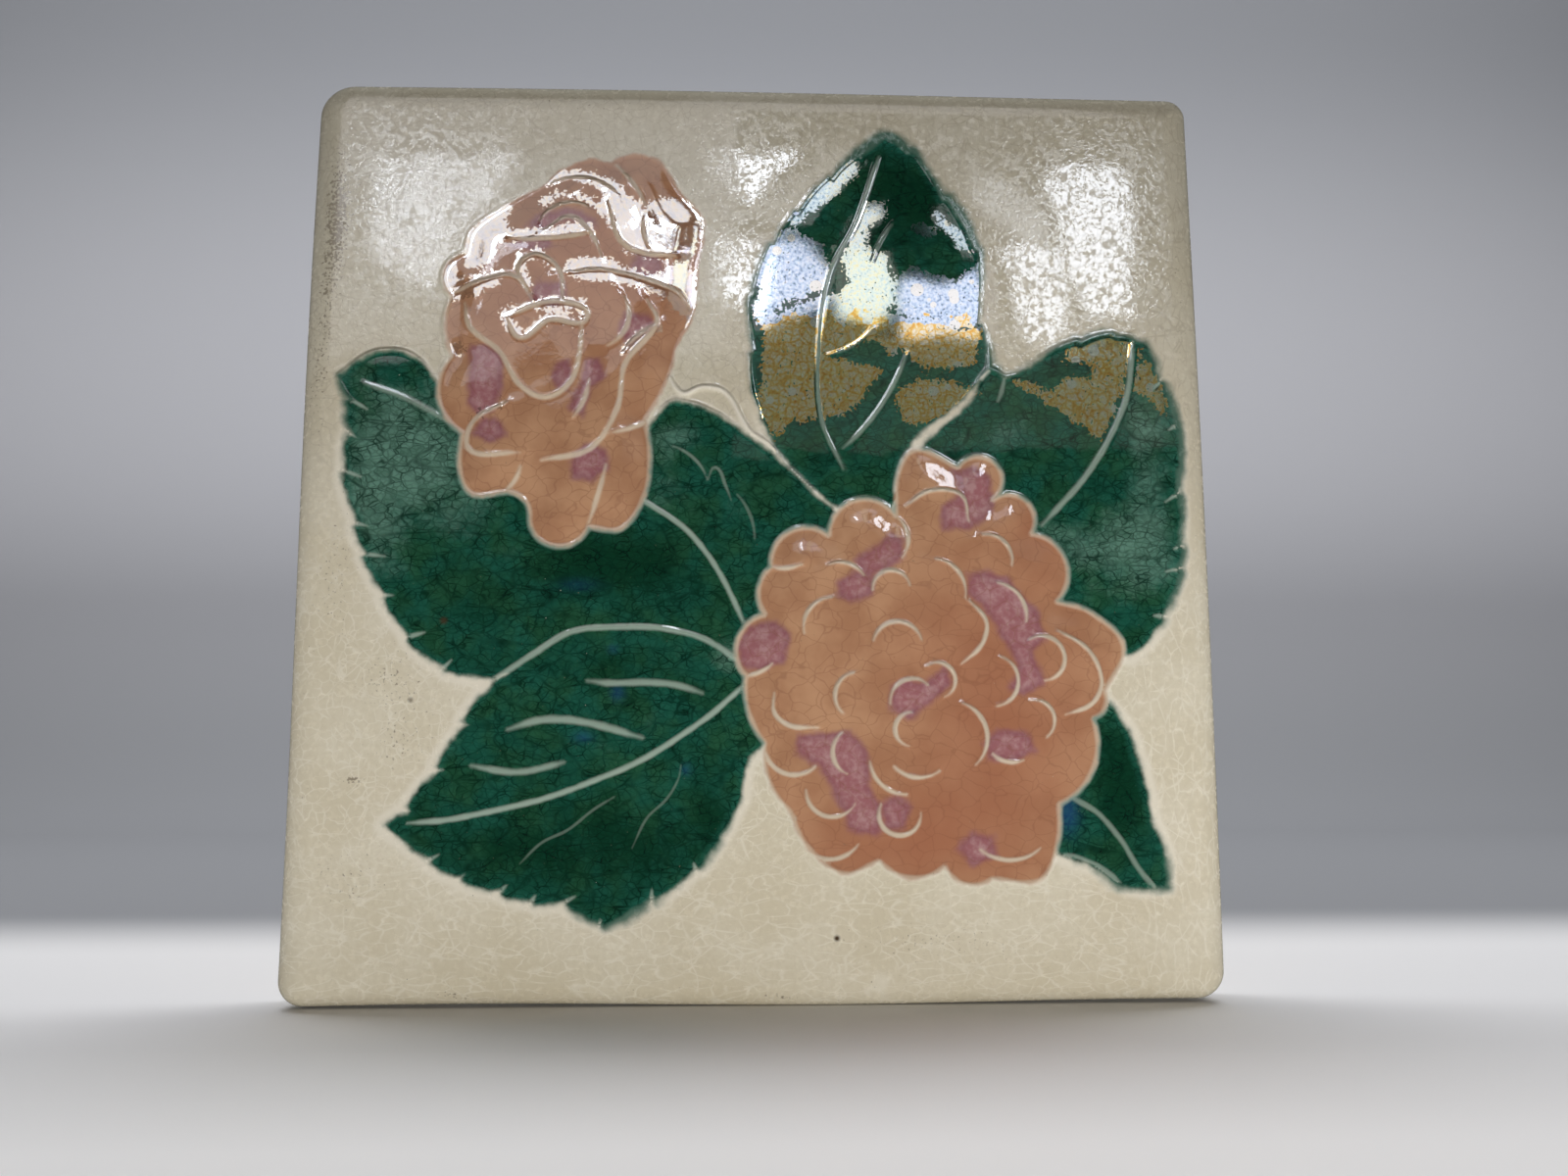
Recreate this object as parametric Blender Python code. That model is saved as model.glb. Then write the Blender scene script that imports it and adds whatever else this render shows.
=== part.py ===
"""A moulded wall tile with two blossoms and their toothed leaves in low relief, made as one solid.

Metres, +Z up. X runs across the tile and Z up it. The back lies on the plane y = 0 with the origin at its
middle, and the face looks towards -Y.
"""

import math

import bpy
import numpy as np
from mathutils import Vector
from mathutils.geometry import delaunay_2d_cdt

# The body of the tile
TILE_WIDTH = 0.152
TILE_HEIGHT = 0.155
TILE_THICKNESS = 0.010
CORNER_TOP_LEFT = 0.0060
CORNER_TOP_RIGHT = 0.0036
CORNER_BOTTOM_RIGHT = 0.0046
CORNER_BOTTOM_LEFT = 0.0042
EDGE_ROLL_WIDTH = 0.0050
EDGE_ROLL_DROP = 0.0032
LIP_HEIGHT = 0.0010
SIDE_DRAFT = 0.0012
BACK_CHAMFER = 0.0006
EDGE_WAVE = 0.00045

# The keying grooves across the back
GROOVE_COUNT = 8
GROOVE_WIDTH = 0.006
GROOVE_DEPTH = 0.001
GROOVE_MARGIN = 0.014

# The relief above the plain ground
RIM_WIDTH = 0.0018
RIM_HEIGHT = 0.0006
LEAF_SHOULDER = 0.0016
LEAF_LIFT = 0.0003
BLOSSOM_SHOULDER = 0.0030
BLOSSOM_LIFT = 0.0004
BLOSSOM_MOUND = 0.0006
MOUND_WIDTH = 0.0150
PETAL_STEP = 0.00020
PETAL_STEP_WIDTH = 0.0030

# The leaves' teeth: how deep a notch is, how far a tooth bulges, how far its notch hooks back, and the slit that
# runs in from it: how long the longest is, how long each in turn is beside it, and its slant inward and back
TOOTH_DEPTH = 0.0007
TOOTH_BELLY = 0.00035
TOOTH_HOOK = 0.35
SLIT_LENGTH = 0.0034
SLIT_SHARES = (1.0, 0.6, 0.85, 0.4)
SLIT_ACROSS = 0.75
SLIT_ALONG = 0.60

# How finely the face is cut into triangles
STROKE_STEP = 0.0024
FIELD_STEP = 0.0042
CLEARANCE = 0.0011
CREST_SHARE = 1 / 3
FOOT_SHARE = 0.45
FOOT_GAP = 0.95
FIELD_GAP = 0.6
SHARP_TURN = math.radians(35)
SIDE_COUNT = 30
CORNER_COUNT = 4
ROLL_SHARES = (0.0, 0.06, 0.22, 0.5, 1.0)
MERGE_GAP = 1e-7

# The glazes and the bare clay: linear colour and roughness
GLAZES = {
    "ground": ("cream_glaze", (0.62, 0.56, 0.43), 0.08),
    "leaf": ("leaf_green_glaze", (0.012, 0.13, 0.085), 0.08),
    "blossom": ("rose_glaze", (0.47, 0.20, 0.12), 0.10),
    "biscuit": ("biscuit_clay", (0.55, 0.45, 0.34), 0.90),
}

# The ornament is drawn in millimetres on a master sheet of this size and middle, and shrunk to fit the tile
MASTER_WIDTH = 154.8
MASTER_HEIGHT = 156.8
MASTER_MIDDLE = (0.0, 0.6)

# A blossom is a ring of lobes. Each lobe starts where the one before it ends: crown points, then its cusp.
LEFT_BLOSSOM = (
    ((-53.6, 34.0), (-52.6, 39.6)),
    ((-54.1, 44.0), (-50.7, 47.4)),
    ((-49.6, 51.5), (-44.8, 55.4), (-37.0, 60.0)),
    ((-33.9, 62.8), (-29.5, 64.7), (-25.7, 63.9)),
    ((-21.3, 65.7), (-15.2, 61.7)),
    ((-13.4, 58.6), (-9.6, 54.0), (-9.6, 49.5)),
    ((-10.4, 45.3), (-11.0, 38.0), (-13.9, 30.9)),
    ((-15.7, 24.5), (-19.1, 18.3)),
    ((-18.3, 12.2), (-19.0, 5.5), (-22.9, -0.5), (-28.4, -0.3)),
    ((-33.5, -3.6), (-38.4, 1.4)),
    ((-39.2, 4.2), (-43.0, 5.5)),
    ((-48.2, 5.3), (-50.3, 10.0), (-50.0, 15.7)),
    ((-54.3, 22.4), (-52.2, 29.1)),
)

RIGHT_BLOSSOM = (
    ((23.8, 9.0), (27.0, 13.4), (34.2, 10.4)),
    ((38.6, 12.2), (40.0, 4.8)),
    ((45.3, 5.0), (46.5, -1.0)),
    ((52.2, -5.5), (50.5, -12.5)),
    ((56.0, -14.2), (61.6, -20.0), (58.2, -27.5)),
    ((58.2, -30.2), (56.0, -32.0)),
    ((56.5, -38.0), (50.0, -46.0)),
    ((49.6, -52.0), (46.5, -58.2), (38.5, -58.0)),
    ((34.5, -58.9), (30.7, -56.0)),
    ((25.0, -57.7), (20.0, -55.0)),
    ((14.0, -57.0), (8.0, -52.5), (5.2, -46.8)),
    ((2.0, -42.5), (1.2, -36.0)),
    ((-1.5, -31.0), (-2.0, -25.0)),
    ((-3.5, -19.5), (1.2, -14.8)),
    ((0.2, -10.0), (2.2, -6.8)),
    ((5.2, -0.9), (12.0, -1.5)),
    ((17.0, 4.7), (23.4, 2.0)),
)

# Petal rims. Three points make an arc: where it starts, its crown and where it ends. More make a smooth curve.
LEFT_PETALS = (
    ((-50.2, 38.3), (-49.1, 33.9), (-43.9, 29.6), (-40.4, 23.9), (-35.7, 21.7), (-31.3, 25.5), (-30.0, 35.0)),
    ((-43.0, 35.7), (-40.4, 32.0), (-35.7, 35.2), (-30.0, 34.8), (-29.4, 37.2), (-35.7, 38.5), (-43.0, 35.7)),
    ((-38.7, 39.6), (-41.3, 44.3), (-38.5, 47.0), (-34.2, 44.2), (-33.5, 39.1)),
    ((-38.7, 38.7), (-41.7, 43.0), (-46.5, 42.6), (-52.6, 40.0)),
    ((-37.8, 53.0), (-34.0, 56.2), (-29.6, 55.7)),
    ((-37.0, 51.3), (-32.5, 53.8), (-28.7, 50.4), (-27.0, 46.5)),
    ((-43.0, 49.8), (-36.5, 49.8), (-28.7, 50.9)),
    ((-33.0, 43.9), (-26.1, 44.3), (-14.3, 40.9), (-11.7, 37.8)),
    ((-19.1, 39.1), (-17.4, 35.0), (-22.6, 27.8), (-23.9, 20.0), (-28.3, 13.0), (-36.5, 10.9)),
    ((-23.0, 39.6), (-22.3, 35.0), (-25.7, 30.9)),
    ((-17.6, 34.8), (-20.6, 32.8), (-23.0, 30.0)),
    ((-42.6, 20.9), (-48.3, 17.4), (-48.4, 12.6), (-40.0, 12.2)),
    ((-28.7, 24.8), (-29.6, 21.2), (-31.3, 18.3)),
    ((-16.1, 20.0), (-20.5, 17.2), (-25.2, 15.7)),
    ((-39.9, 9.9), (-41.0, 7.4), (-43.0, 5.5)),
    ((-25.6, 10.3), (-26.8, 5.3), (-28.4, 0.5)),
    ((-25.2, 63.9), (-22.0, 60.2), (-19.6, 56.1)),
    ((-36.5, 60.0), (-29.8, 61.0), (-23.9, 57.4)),
    ((-26.1, 56.5), (-23.9, 49.6), (-20.0, 47.4), (-14.3, 47.0)),
    ((-19.8, 53.9), (-19.9, 51.0), (-18.9, 48.3)),
)

RIGHT_PETALS = (
    ((25.0, 3.5), (29.0, 6.1), (34.5, 5.5), (35.7, 1.0)),
    ((23.4, 2.0), (25.4, -1.8), (24.3, -5.3)),
    ((38.0, -1.3), (41.8, -2.6), (42.8, -6.5)),
    ((12.0, -6.5), (15.2, -6.3), (17.8, -8.3)),
    ((19.3, -10.8), (22.3, -7.4), (25.5, -10.0)),
    ((12.3, -12.0), (8.8, -13.8), (7.8, -18.0)),
    ((19.3, -19.2), (23.5, -16.0), (27.3, -19.0)),
    ((30.0, -5.5), (33.9, -7.8), (34.8, -12.0)),
    ((35.5, -12.5), (38.3, -16.0), (37.3, -20.0), (34.0, -23.0)),
    ((40.3, -9.5), (44.0, -11.6), (45.0, -16.0)),
    ((45.5, -19.0), (51.3, -21.8), (47.8, -25.8)),
    ((40.5, -21.8), (43.4, -25.8), (39.8, -30.0)),
    ((22.0, -29.5), (24.8, -25.6), (28.3, -26.5)),
    ((28.3, -23.3), (32.5, -24.3), (31.0, -28.5)),
    ((25.5, -31.0), (22.7, -33.8), (25.0, -36.5)),
    ((34.0, -29.5), (38.0, -34.5), (36.0, -39.5)),
    ((22.5, -39.8), (26.3, -41.6), (30.0, -40.5)),
    ((14.0, -34.3), (12.4, -37.5), (14.8, -41.0)),
    ((18.5, -39.0), (20.3, -42.6), (24.5, -44.3)),
    ((20.3, -45.8), (22.3, -50.7), (26.8, -47.3)),
    ((8.0, -43.5), (11.6, -47.8), (16.0, -45.8)),
    ((38.8, -37.8), (41.2, -39.1), (44.0, -38.8)),
    ((45.5, -29.0), (49.3, -31.8), (48.0, -35.0)),
    ((2.8, -27.8), (2.8, -31.0), (5.4, -33.2), (10.0, -33.5)),
    ((16.0, -24.5), (12.9, -27.6), (14.0, -31.0)),
    ((36.5, -53.2), (41.5, -54.9), (46.5, -53.0)),
    ((50.5, -17.5), (55.3, -20.6), (57.6, -25.8), (55.8, -29.6), (51.2, -31.4)),
    ((2.2, -6.8), (4.8, -7.1), (7.5, -6.5)),
    ((-2.0, -25.0), (0.4, -24.4), (2.5, -23.0)),
    ((1.2, -36.0), (3.2, -40.2), (9.5, -39.8)),
    ((6.3, -48.0), (8.6, -53.6), (16.5, -52.2)),
)

# Leaf outlines. The toothed edges are lists of tooth tips from the stalk to the point of the leaf.
LEFT_LEAF_TOP = ((-50.0, 20.0), (-55.0, 25.3), (-58.5, 29.0), (-62.0, 30.0), (-66.0, 29.3), (-71.0, 25.5))
LEFT_LEAF_TEETH = (
    (-41.5, -25.6), (-51.7, -24.6), (-58.0, -19.4), (-62.4, -12.4), (-65.8, -5.5),
    (-67.5, -0.3), (-69.7, 8.6), (-69.3, 15.3), (-69.4, 21.0), (-71.0, 25.5),
)
MIDDLE_LEAF_TOP = (
    (14.0, 2.0), (8.0, 7.4), (2.5, 12.6), (-2.0, 16.0), (-6.0, 18.8), (-11.0, 21.0), (-15.0, 21.3), (-20.0, 15.0),
)
LOW_LEAF_TOP = (
    (4.0, -28.0), (-2.0, -23.4), (-8.3, -19.2), (-15.5, -17.2), (-24.0, -17.0), (-31.0, -17.8), (-37.0, -21.4),
    (-42.7, -25.2),
)
LOW_LEAF_UPPER_TEETH = ((-42.7, -25.2), (-48.6, -32.4), (-52.7, -39.8), (-57.3, -46.2), (-60.8, -49.2))
LOW_LEAF_LOWER_TEETH = (
    (-2.4, -45.0), (-9.2, -56.3), (-16.4, -61.2), (-24.7, -65.2), (-31.0, -62.0), (-36.0, -61.9),
    (-41.4, -60.4), (-47.9, -58.3), (-53.1, -55.4), (-60.8, -49.2),
)
LOW_LEAF_STALK = ((4.0, -28.0), (2.0, -36.0), (-1.2, -38.5), (-2.4, -45.0))
TOP_LEAF_LEFT_TEETH = (
    (-0.8, 22.0), (-1.6, 30.0), (-1.6, 40.2), (2.0, 49.6), (6.2, 55.8), (12.2, 62.2), (17.4, 66.2), (22.5, 69.4),
)
TOP_LEAF_STALK = ((23.0, 2.0), (14.0, 3.0), (8.0, 7.8), (2.6, 13.8), (-0.8, 22.0))
TOP_LEAF_RIGHT_TEETH = (
    (39.8, 27.5), (38.9, 35.6), (38.6, 48.8), (33.2, 58.4), (27.2, 67.0), (22.5, 69.4),
)
TOP_LEAF_RIDGE = ((23.0, 2.0), (24.0, 9.0), (27.0, 15.3), (33.5, 20.4), (39.8, 27.5))
RIGHT_LEAF_TOP = ((22.0, 2.0), (28.0, 14.0), (36.5, 22.0), (39.8, 27.5), (43.3, 26.4), (48.3, 29.2))
RIGHT_LEAF_TOP_TEETH = ((48.3, 29.2), (55.4, 32.9), (61.7, 34.2), (67.8, 32.3))
RIGHT_LEAF_TEETH = (
    (62.6, -22.0), (68.6, -15.6), (71.7, -7.4), (72.2, -3.6), (72.2, 5.6), (72.6, 17.6), (70.2, 25.6), (67.8, 32.3),
)
RIGHT_LEAF_STALK = ((22.0, 2.0), (40.0, -12.0), (62.6, -22.0))
CORNER_LEAF_EDGE = (
    (54.0, -28.0), (57.8, -29.0), (62.0, -33.9), (63.5, -38.7), (64.8, -43.5), (65.6, -49.1), (67.5, -53.8),
    (67.6, -59.6),
)
CORNER_LEAF_FOOT = ((67.6, -59.6), (63.3, -59.9), (59.0, -59.0), (55.5, -56.4), (50.0, -54.4), (44.0, -52.0))
CORNER_LEAF_STALK = ((44.0, -52.0), (46.0, -36.0), (54.0, -28.0))

# Where the left leaf's edge runs on out of sight behind the low leaf
HIDDEN_STALK = (-20.0, -24.0)

# Ribs and veins of the leaves: how tall each is beside the tallest line, and its points
LEFT_RIBS = (
    (0.5, ((-66.7, 24.2), (-59.9, 21.8), (-53.0, 18.2), (-44.0, 14.5))),
    (0.8, ((-24.0, 7.0), (-17.6, 3.3), (-12.1, -0.5), (-7.9, -5.5), (-4.6, -11.2), (-2.0, -17.0))),
    (0.4, ((-14.4, 13.7), (-11.4, 12.1), (-8.5, 7.9))),
    (0.4, ((-8.5, 7.9), (-7.2, 10.1), (-5.5, 7.1), (-4.5, 4.5))),
)
LOW_RIBS = (
    (
        1.0,
        (
            (-56.8, -48.8), (-50.5, -48.3), (-42.6, -46.8), (-34.7, -44.9), (-26.8, -42.1), (-18.9, -38.7),
            (-11.7, -34.2), (-6.9, -30.7), (-1.6, -26.0),
        ),
    ),
    (0.7, ((-28.2, -25.8), (-24.8, -26.2), (-18.3, -26.1), (-13.4, -26.5), (-9.0, -27.9))),
    (0.7, ((-41.0, -33.8), (-35.9, -32.3), (-31.1, -32.2), (-26.2, -33.1), (-18.8, -35.2))),
    (0.7, ((-46.8, -39.6), (-42.0, -40.5), (-38.0, -40.6), (-31.5, -39.1))),
    (0.5, ((-38.4, -55.3), (-35.0, -52.0), (-30.7, -49.9), (-26.8, -46.8), (-23.4, -44.7))),
    (0.5, ((-20.3, -52.8), (-18.0, -48.1), (-14.8, -45.0), (-12.9, -41.8), (-12.5, -39.6))),
)
TOP_RIBS = (
    (0.9, ((21.3, 66.0), (17.0, 53.5), (12.5, 44.5), (10.5, 32.0), (10.8, 19.0), (14.5, 10.0))),
    (0.4, ((23.5, 53.5), (21.5, 50.4), (20.0, 47.0))),
    (0.5, ((20.0, 35.0), (17.0, 32.0), (12.5, 30.0))),
    (0.7, ((25.5, 30.0), (21.8, 22.2), (14.5, 13.5))),
)
RIGHT_RIBS = (
    (0.9, ((65.2, 32.8), (63.3, 21.9), (57.0, 10.2), (48.3, 0.4))),
    (0.6, ((42.6, 27.1), (42.2, 24.4), (41.3, 21.9))),
)
CORNER_RIBS = (
    (0.7, ((50.0, -43.6), (52.3, -45.1), (56.3, -47.5), (60.2, -52.2), (62.5, -56.1), (65.8, -60.4))),
    (0.7, ((47.5, -54.5), (51.0, -54.4), (54.4, -55.3), (58.4, -57.7), (60.7, -60.6))),
)
RIDGE = (
    (-16.0, 27.0), (-13.0, 22.9), (-9.5, 24.0), (-5.5, 23.0), (-1.6, 16.6), (2.5, 13.6), (8.0, 7.6), (14.5, 3.5),
)

# How tall the other lines are beside the tallest: the free ridge, a leaf's edge on the plain ground and over
# another leaf, a blossom's edge, the petals' edges, and the slits beside the teeth
RIDGE_TALL = 0.8
LEAF_EDGE_TALL = 0.7
OVERLAP_TALL = 1.0
BLOSSOM_EDGE_TALL = 0.9
LEFT_PETALS_TALL = 0.8
RIGHT_PETALS_TALL = 1.0
SLIT_TALL = 0.35


def arc(start, crown, end, step):
    """Points along the circle through three points."""
    (ax, az), (bx, bz), (cx, cz) = start, crown, end
    turn = 2 * ((bx - ax) * (cz - az) - (bz - az) * (cx - ax))
    if abs(turn) < 1e-6:
        return smooth((start, end), step)
    b2 = (bx - ax) ** 2 + (bz - az) ** 2
    c2 = (cx - ax) ** 2 + (cz - az) ** 2
    ox = ax + ((cz - az) * b2 - (bz - az) * c2) / turn
    oz = az + ((bx - ax) * c2 - (cx - ax) * b2) / turn
    radius = math.hypot(ax - ox, az - oz)
    first = math.atan2(az - oz, ax - ox)
    sweep = (math.atan2(cz - oz, cx - ox) - first) % math.tau
    if turn < 0:
        sweep -= math.tau
    count = max(2, round(abs(sweep) * radius / step))
    angles = first + np.linspace(0, sweep, count + 1)
    return np.column_stack([ox + radius * np.cos(angles), oz + radius * np.sin(angles)])


def smooth(points, step):
    """Points along a smooth curve through all the given points."""
    points = np.array(points, float)
    if len(points) == 2:
        tangents = np.array([points[1] - points[0]] * 2)
    else:
        inner = (points[2:] - points[:-2]) / 2
        tangents = np.vstack([points[1] - points[0], inner, points[-1] - points[-2]])
    run = [points[:1]]
    for a, b, ta, tb in zip(points[:-1], points[1:], tangents[:-1], tangents[1:]):
        length = np.linalg.norm(b - a)
        ta = ta * length / max(np.linalg.norm(ta), 1e-9)
        tb = tb * length / max(np.linalg.norm(tb), 1e-9)
        t = np.linspace(0, 1, max(1, round(length / step)) + 1)[1:, None]
        rise = t * t * (3 - 2 * t)
        run.append(a * (1 - rise) + b * rise + ta * t * (1 - t) ** 2 - tb * t * t * (1 - t))
    return np.vstack(run)


def stroke(points, step):
    """An arc through three points, or a smooth curve through any other number."""
    return arc(*points, step) if len(points) == 3 else smooth(points, step)


def ring_of_lobes(lobes, step):
    """The closed outline of a blossom."""
    cusp = lobes[-1][-1]
    outline = []
    for lobe in lobes:
        outline.append(stroke((cusp, *lobe), step)[:-1])
        cusp = lobe[-1]
    return np.vstack(outline)


def toothed(tips, step, inward, slit_share):
    """A leaf's edge from stalk to point, with the slits that run in beside its teeth.

    inward is 1 where the leaf lies to the left of the way to its point, and -1 where it lies to the right.
    slit_share is how long its slits are beside the longest.
    """
    scale = MASTER_WIDTH / TILE_WIDTH
    depth, bulge = TOOTH_DEPTH * scale, TOOTH_BELLY * scale
    reaches = [share * slit_share * SLIT_LENGTH * scale for share in SLIT_SHARES]
    edge, slits = [np.array([tips[0]])], []
    start = np.array(tips[0])
    for index in range(1, len(tips)):
        tip = np.array(tips[index])
        along = (tip - start) / np.linalg.norm(tip - start)
        across = inward * np.array([-along[1], along[0]])
        belly = (start + tip) / 2 - across * bulge
        edge.append(arc(start, belly, tip, step)[1:])
        if index < len(tips) - 1:
            start = tip + across * depth + along * depth * TOOTH_HOOK
            edge.append(start[None])
            reach = reaches[index % len(reaches)]
            if reach:
                slits.append((start, start + reach * (across * SLIT_ACROSS - along * SLIT_ALONG)))
    return np.vstack(edge), slits


def closed(*edges):
    """One outline from edges that follow each other."""
    return np.vstack([edge[:-1] for edge in edges])


def leaves(step):
    """Each leaf from the rearmost to the foremost: its outline and the strokes drawn on it."""
    left_edge, left_slits = toothed(LEFT_LEAF_TEETH, step, -1, 1.0)
    hidden_stalk = smooth((LOW_LEAF_TOP[-1], HIDDEN_STALK, LOW_LEAF_TOP[0], MIDDLE_LEAF_TOP[0]), step)
    left = closed(
        left_edge[::-1], smooth((LEFT_LEAF_TEETH[0], LOW_LEAF_TOP[-1]), step), hidden_stalk,
        smooth(MIDDLE_LEAF_TOP, step), smooth((MIDDLE_LEAF_TOP[-1], LEFT_LEAF_TOP[0]), step),
        smooth(LEFT_LEAF_TOP, step),
    )
    right_top, top_slits = toothed(RIGHT_LEAF_TOP_TEETH, step, -1, 0.0)
    right_edge, right_slits = toothed(RIGHT_LEAF_TEETH, step, 1, 0.7)
    right = closed(
        smooth(RIGHT_LEAF_TOP, step), right_top, right_edge[::-1], smooth(RIGHT_LEAF_STALK, step)[::-1],
    )
    top_left, top_left_slits = toothed(TOP_LEAF_LEFT_TEETH, step, -1, 0.0)
    top_right, top_right_slits = toothed(TOP_LEAF_RIGHT_TEETH, step, 1, 0.0)
    top = closed(
        smooth(TOP_LEAF_STALK, step), top_left, top_right[::-1], smooth(TOP_LEAF_RIDGE, step)[::-1],
    )
    low_upper, low_upper_slits = toothed(LOW_LEAF_UPPER_TEETH, step, 1, 0.35)
    low_lower, low_lower_slits = toothed(LOW_LEAF_LOWER_TEETH, step, -1, 0.5)
    low = closed(
        smooth(LOW_LEAF_TOP, step), low_upper, low_lower[::-1], smooth(LOW_LEAF_STALK, step)[::-1],
    )
    corner = closed(
        smooth(CORNER_LEAF_EDGE, step), smooth(CORNER_LEAF_FOOT, step), smooth(CORNER_LEAF_STALK, step),
    )
    return (
        (left, LEFT_RIBS, left_slits),
        (right, RIGHT_RIBS, top_slits + right_slits),
        (top, TOP_RIBS, top_left_slits + top_right_slits),
        (low, LOW_RIBS, low_upper_slits + low_lower_slits),
        (corner, CORNER_RIBS, []),
    )


def in_metres(points):
    """Master-sheet millimetres to metres on the tile."""
    scale = (TILE_WIDTH / MASTER_WIDTH, TILE_HEIGHT / MASTER_HEIGHT)
    return (np.asarray(points, float) - MASTER_MIDDLE) * scale


def is_inside(outline, points):
    """Which points lie inside a closed outline."""
    inside = np.zeros(len(points), bool)
    for (ax, az), (bx, bz) in zip(outline, np.roll(outline, -1, axis=0)):
        if az == bz:
            continue
        crosses = (az > points[:, 1]) != (bz > points[:, 1])
        inside ^= crosses & (points[:, 0] < (bx - ax) * (points[:, 1] - az) / (bz - az) + ax)
    return inside


def distance(line, points):
    """How far each point is from a line, and on which side: positive to the left of its direction."""
    best = np.full(len(points), np.inf)
    side = np.ones(len(points))
    for a, b in zip(line[:-1], line[1:]):
        along = b - a
        length = max(along @ along, 1e-16)
        offset = points - a
        t = np.clip(offset @ along / length, 0, 1)
        gap = np.linalg.norm(offset - t[:, None] * along, axis=1)
        nearer = gap < best
        best[nearer] = gap[nearer]
        side[nearer] = np.sign(along[0] * offset[nearer, 1] - along[1] * offset[nearer, 0])
    return best, side


def ease(t):
    """0 below t = 0, 1 above t = 1 and smooth between."""
    t = np.clip(t, 0, 1)
    return t * t * (3 - 2 * t)


def bead(gap, width):
    """The section of a raised line, 1 on its middle and 0 at half its width."""
    t = np.clip(gap / (width / 2), 0, 1)
    return (1 - t * t) ** 2


class Relief:
    """The ornament in metres: fields of leaves and blossoms from the back to the front, and their strokes."""

    def __init__(self, step):
        master_step = step / TILE_WIDTH * MASTER_WIDTH
        self.fields = []
        for outline, ribs, slits in leaves(master_step):
            pens = [(tall, in_metres(stroke(rib, master_step))) for tall, rib in ribs]
            cuts = [(SLIT_TALL, in_metres(smooth(slit, master_step))) for slit in slits]
            self.fields.append(("leaf", in_metres(outline), pens, cuts))
        for lobes, petals, tall in (
            (LEFT_BLOSSOM, LEFT_PETALS, LEFT_PETALS_TALL), (RIGHT_BLOSSOM, RIGHT_PETALS, RIGHT_PETALS_TALL),
        ):
            outline = in_metres(ring_of_lobes(lobes, master_step))
            pens = [(tall, in_metres(stroke(petal, master_step))) for petal in petals]
            self.fields.append(("blossom", outline, pens, []))
        self.ridge = in_metres(stroke(RIDGE, master_step))

    def heights(self, points):
        """The relief's height above the plain ground, and the kind of field, at each point."""
        body = np.zeros(len(points))
        raised = np.zeros(len(points))
        kinds = np.full(len(points), "ground", dtype="<U8")
        raised = np.maximum(raised, RIDGE_TALL * bead(distance(self.ridge, points)[0], RIM_WIDTH))
        for kind, outline, pens, cuts in self.fields:
            depth, _ = distance(looped(outline), points)
            inside = is_inside(outline, points)
            over = body > 0
            kinds[inside] = kind
            raised[inside] = 0
            if kind == "leaf":
                body[inside] += ease(depth[inside] / LEAF_SHOULDER) * (LEAF_LIFT - body[inside])
                rim = np.where(over, OVERLAP_TALL, LEAF_EDGE_TALL)
            else:
                form = self.blossom_form(points[inside], depth[inside], pens)
                body[inside] += ease(depth[inside] / BLOSSOM_SHOULDER) * (form - body[inside])
                rim = BLOSSOM_EDGE_TALL
            raised = np.maximum(raised, rim * bead(depth, RIM_WIDTH))
            for tall, line in pens:
                line_height = tall * bead(distance(line, points)[0], RIM_WIDTH)
                raised = np.where(inside, np.maximum(raised, line_height), raised)
            for tall, line in cuts:
                raised = np.maximum(raised, tall * bead(distance(line, points)[0], RIM_WIDTH))
        return body + RIM_HEIGHT * raised, kinds

    def blossom_form(self, points, depth, petals):
        """A blossom is a low mound of petals, each standing over the one that its rim overlaps."""
        mound = BLOSSOM_MOUND * (1 - (1 - np.clip(depth / MOUND_WIDTH, 0, 1)) ** 2)
        step = np.zeros(len(points))
        for _, petal in petals:
            gap, side = distance(petal, points)
            bend = np.cross(petal[len(petal) // 2] - petal[0], petal[-1] - petal[0])
            step += np.sign(bend) * side * np.exp(-gap / PETAL_STEP_WIDTH)
        return BLOSSOM_LIFT + mound + PETAL_STEP * np.tanh(step)

    def lines(self):
        """Every line whose crest shows, each cut where a nearer field covers it."""
        runs = [(self.ridge, self.fields)]
        for number, (_, outline, pens, cuts) in enumerate(self.fields):
            over = self.fields[number + 1:]
            runs.append((looped(outline), over))
            runs.extend((line, over) for _, line in pens + cuts)
        for line, over in runs:
            seen = np.ones(len(line), bool)
            for _, outline, _, _ in over:
                seen &= ~is_inside(outline, line)
            for run in np.split(np.arange(len(line)), np.flatnonzero(np.diff(seen.astype(int))) + 1):
                if seen[run[0]]:
                    yield line[run]


def looped(outline):
    """A closed outline with its first point again at its end."""
    return np.vstack([outline, outline[:1]])


def rounded_ring(inset):
    """The tile's outline moved in by inset, anticlockwise as seen from the face, always with as many points."""
    half_width, half_height = TILE_WIDTH / 2, TILE_HEIGHT / 2
    corners = (
        (1, 1, CORNER_TOP_RIGHT, 0.0),
        (-1, 1, CORNER_TOP_LEFT, math.pi / 2),
        (-1, -1, CORNER_BOTTOM_LEFT, math.pi),
        (1, -1, CORNER_BOTTOM_RIGHT, 1.5 * math.pi),
    )
    bends = []
    for across, up, radius, first in corners:
        bend = max(radius - inset, radius / 2)
        centre = np.array([across * (half_width - inset - bend), up * (half_height - inset - bend)])
        angles = first + np.linspace(0, math.pi / 2, CORNER_COUNT + 1)
        bends.append(centre + bend * np.column_stack([np.cos(angles), np.sin(angles)]))
    ring = []
    for bend, after in zip(bends, bends[1:] + bends[:1]):
        ring.append(bend)
        ring.append(np.linspace(bend[-1], after[0], SIDE_COUNT + 1)[1:-1])
    return np.vstack(ring)


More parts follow.
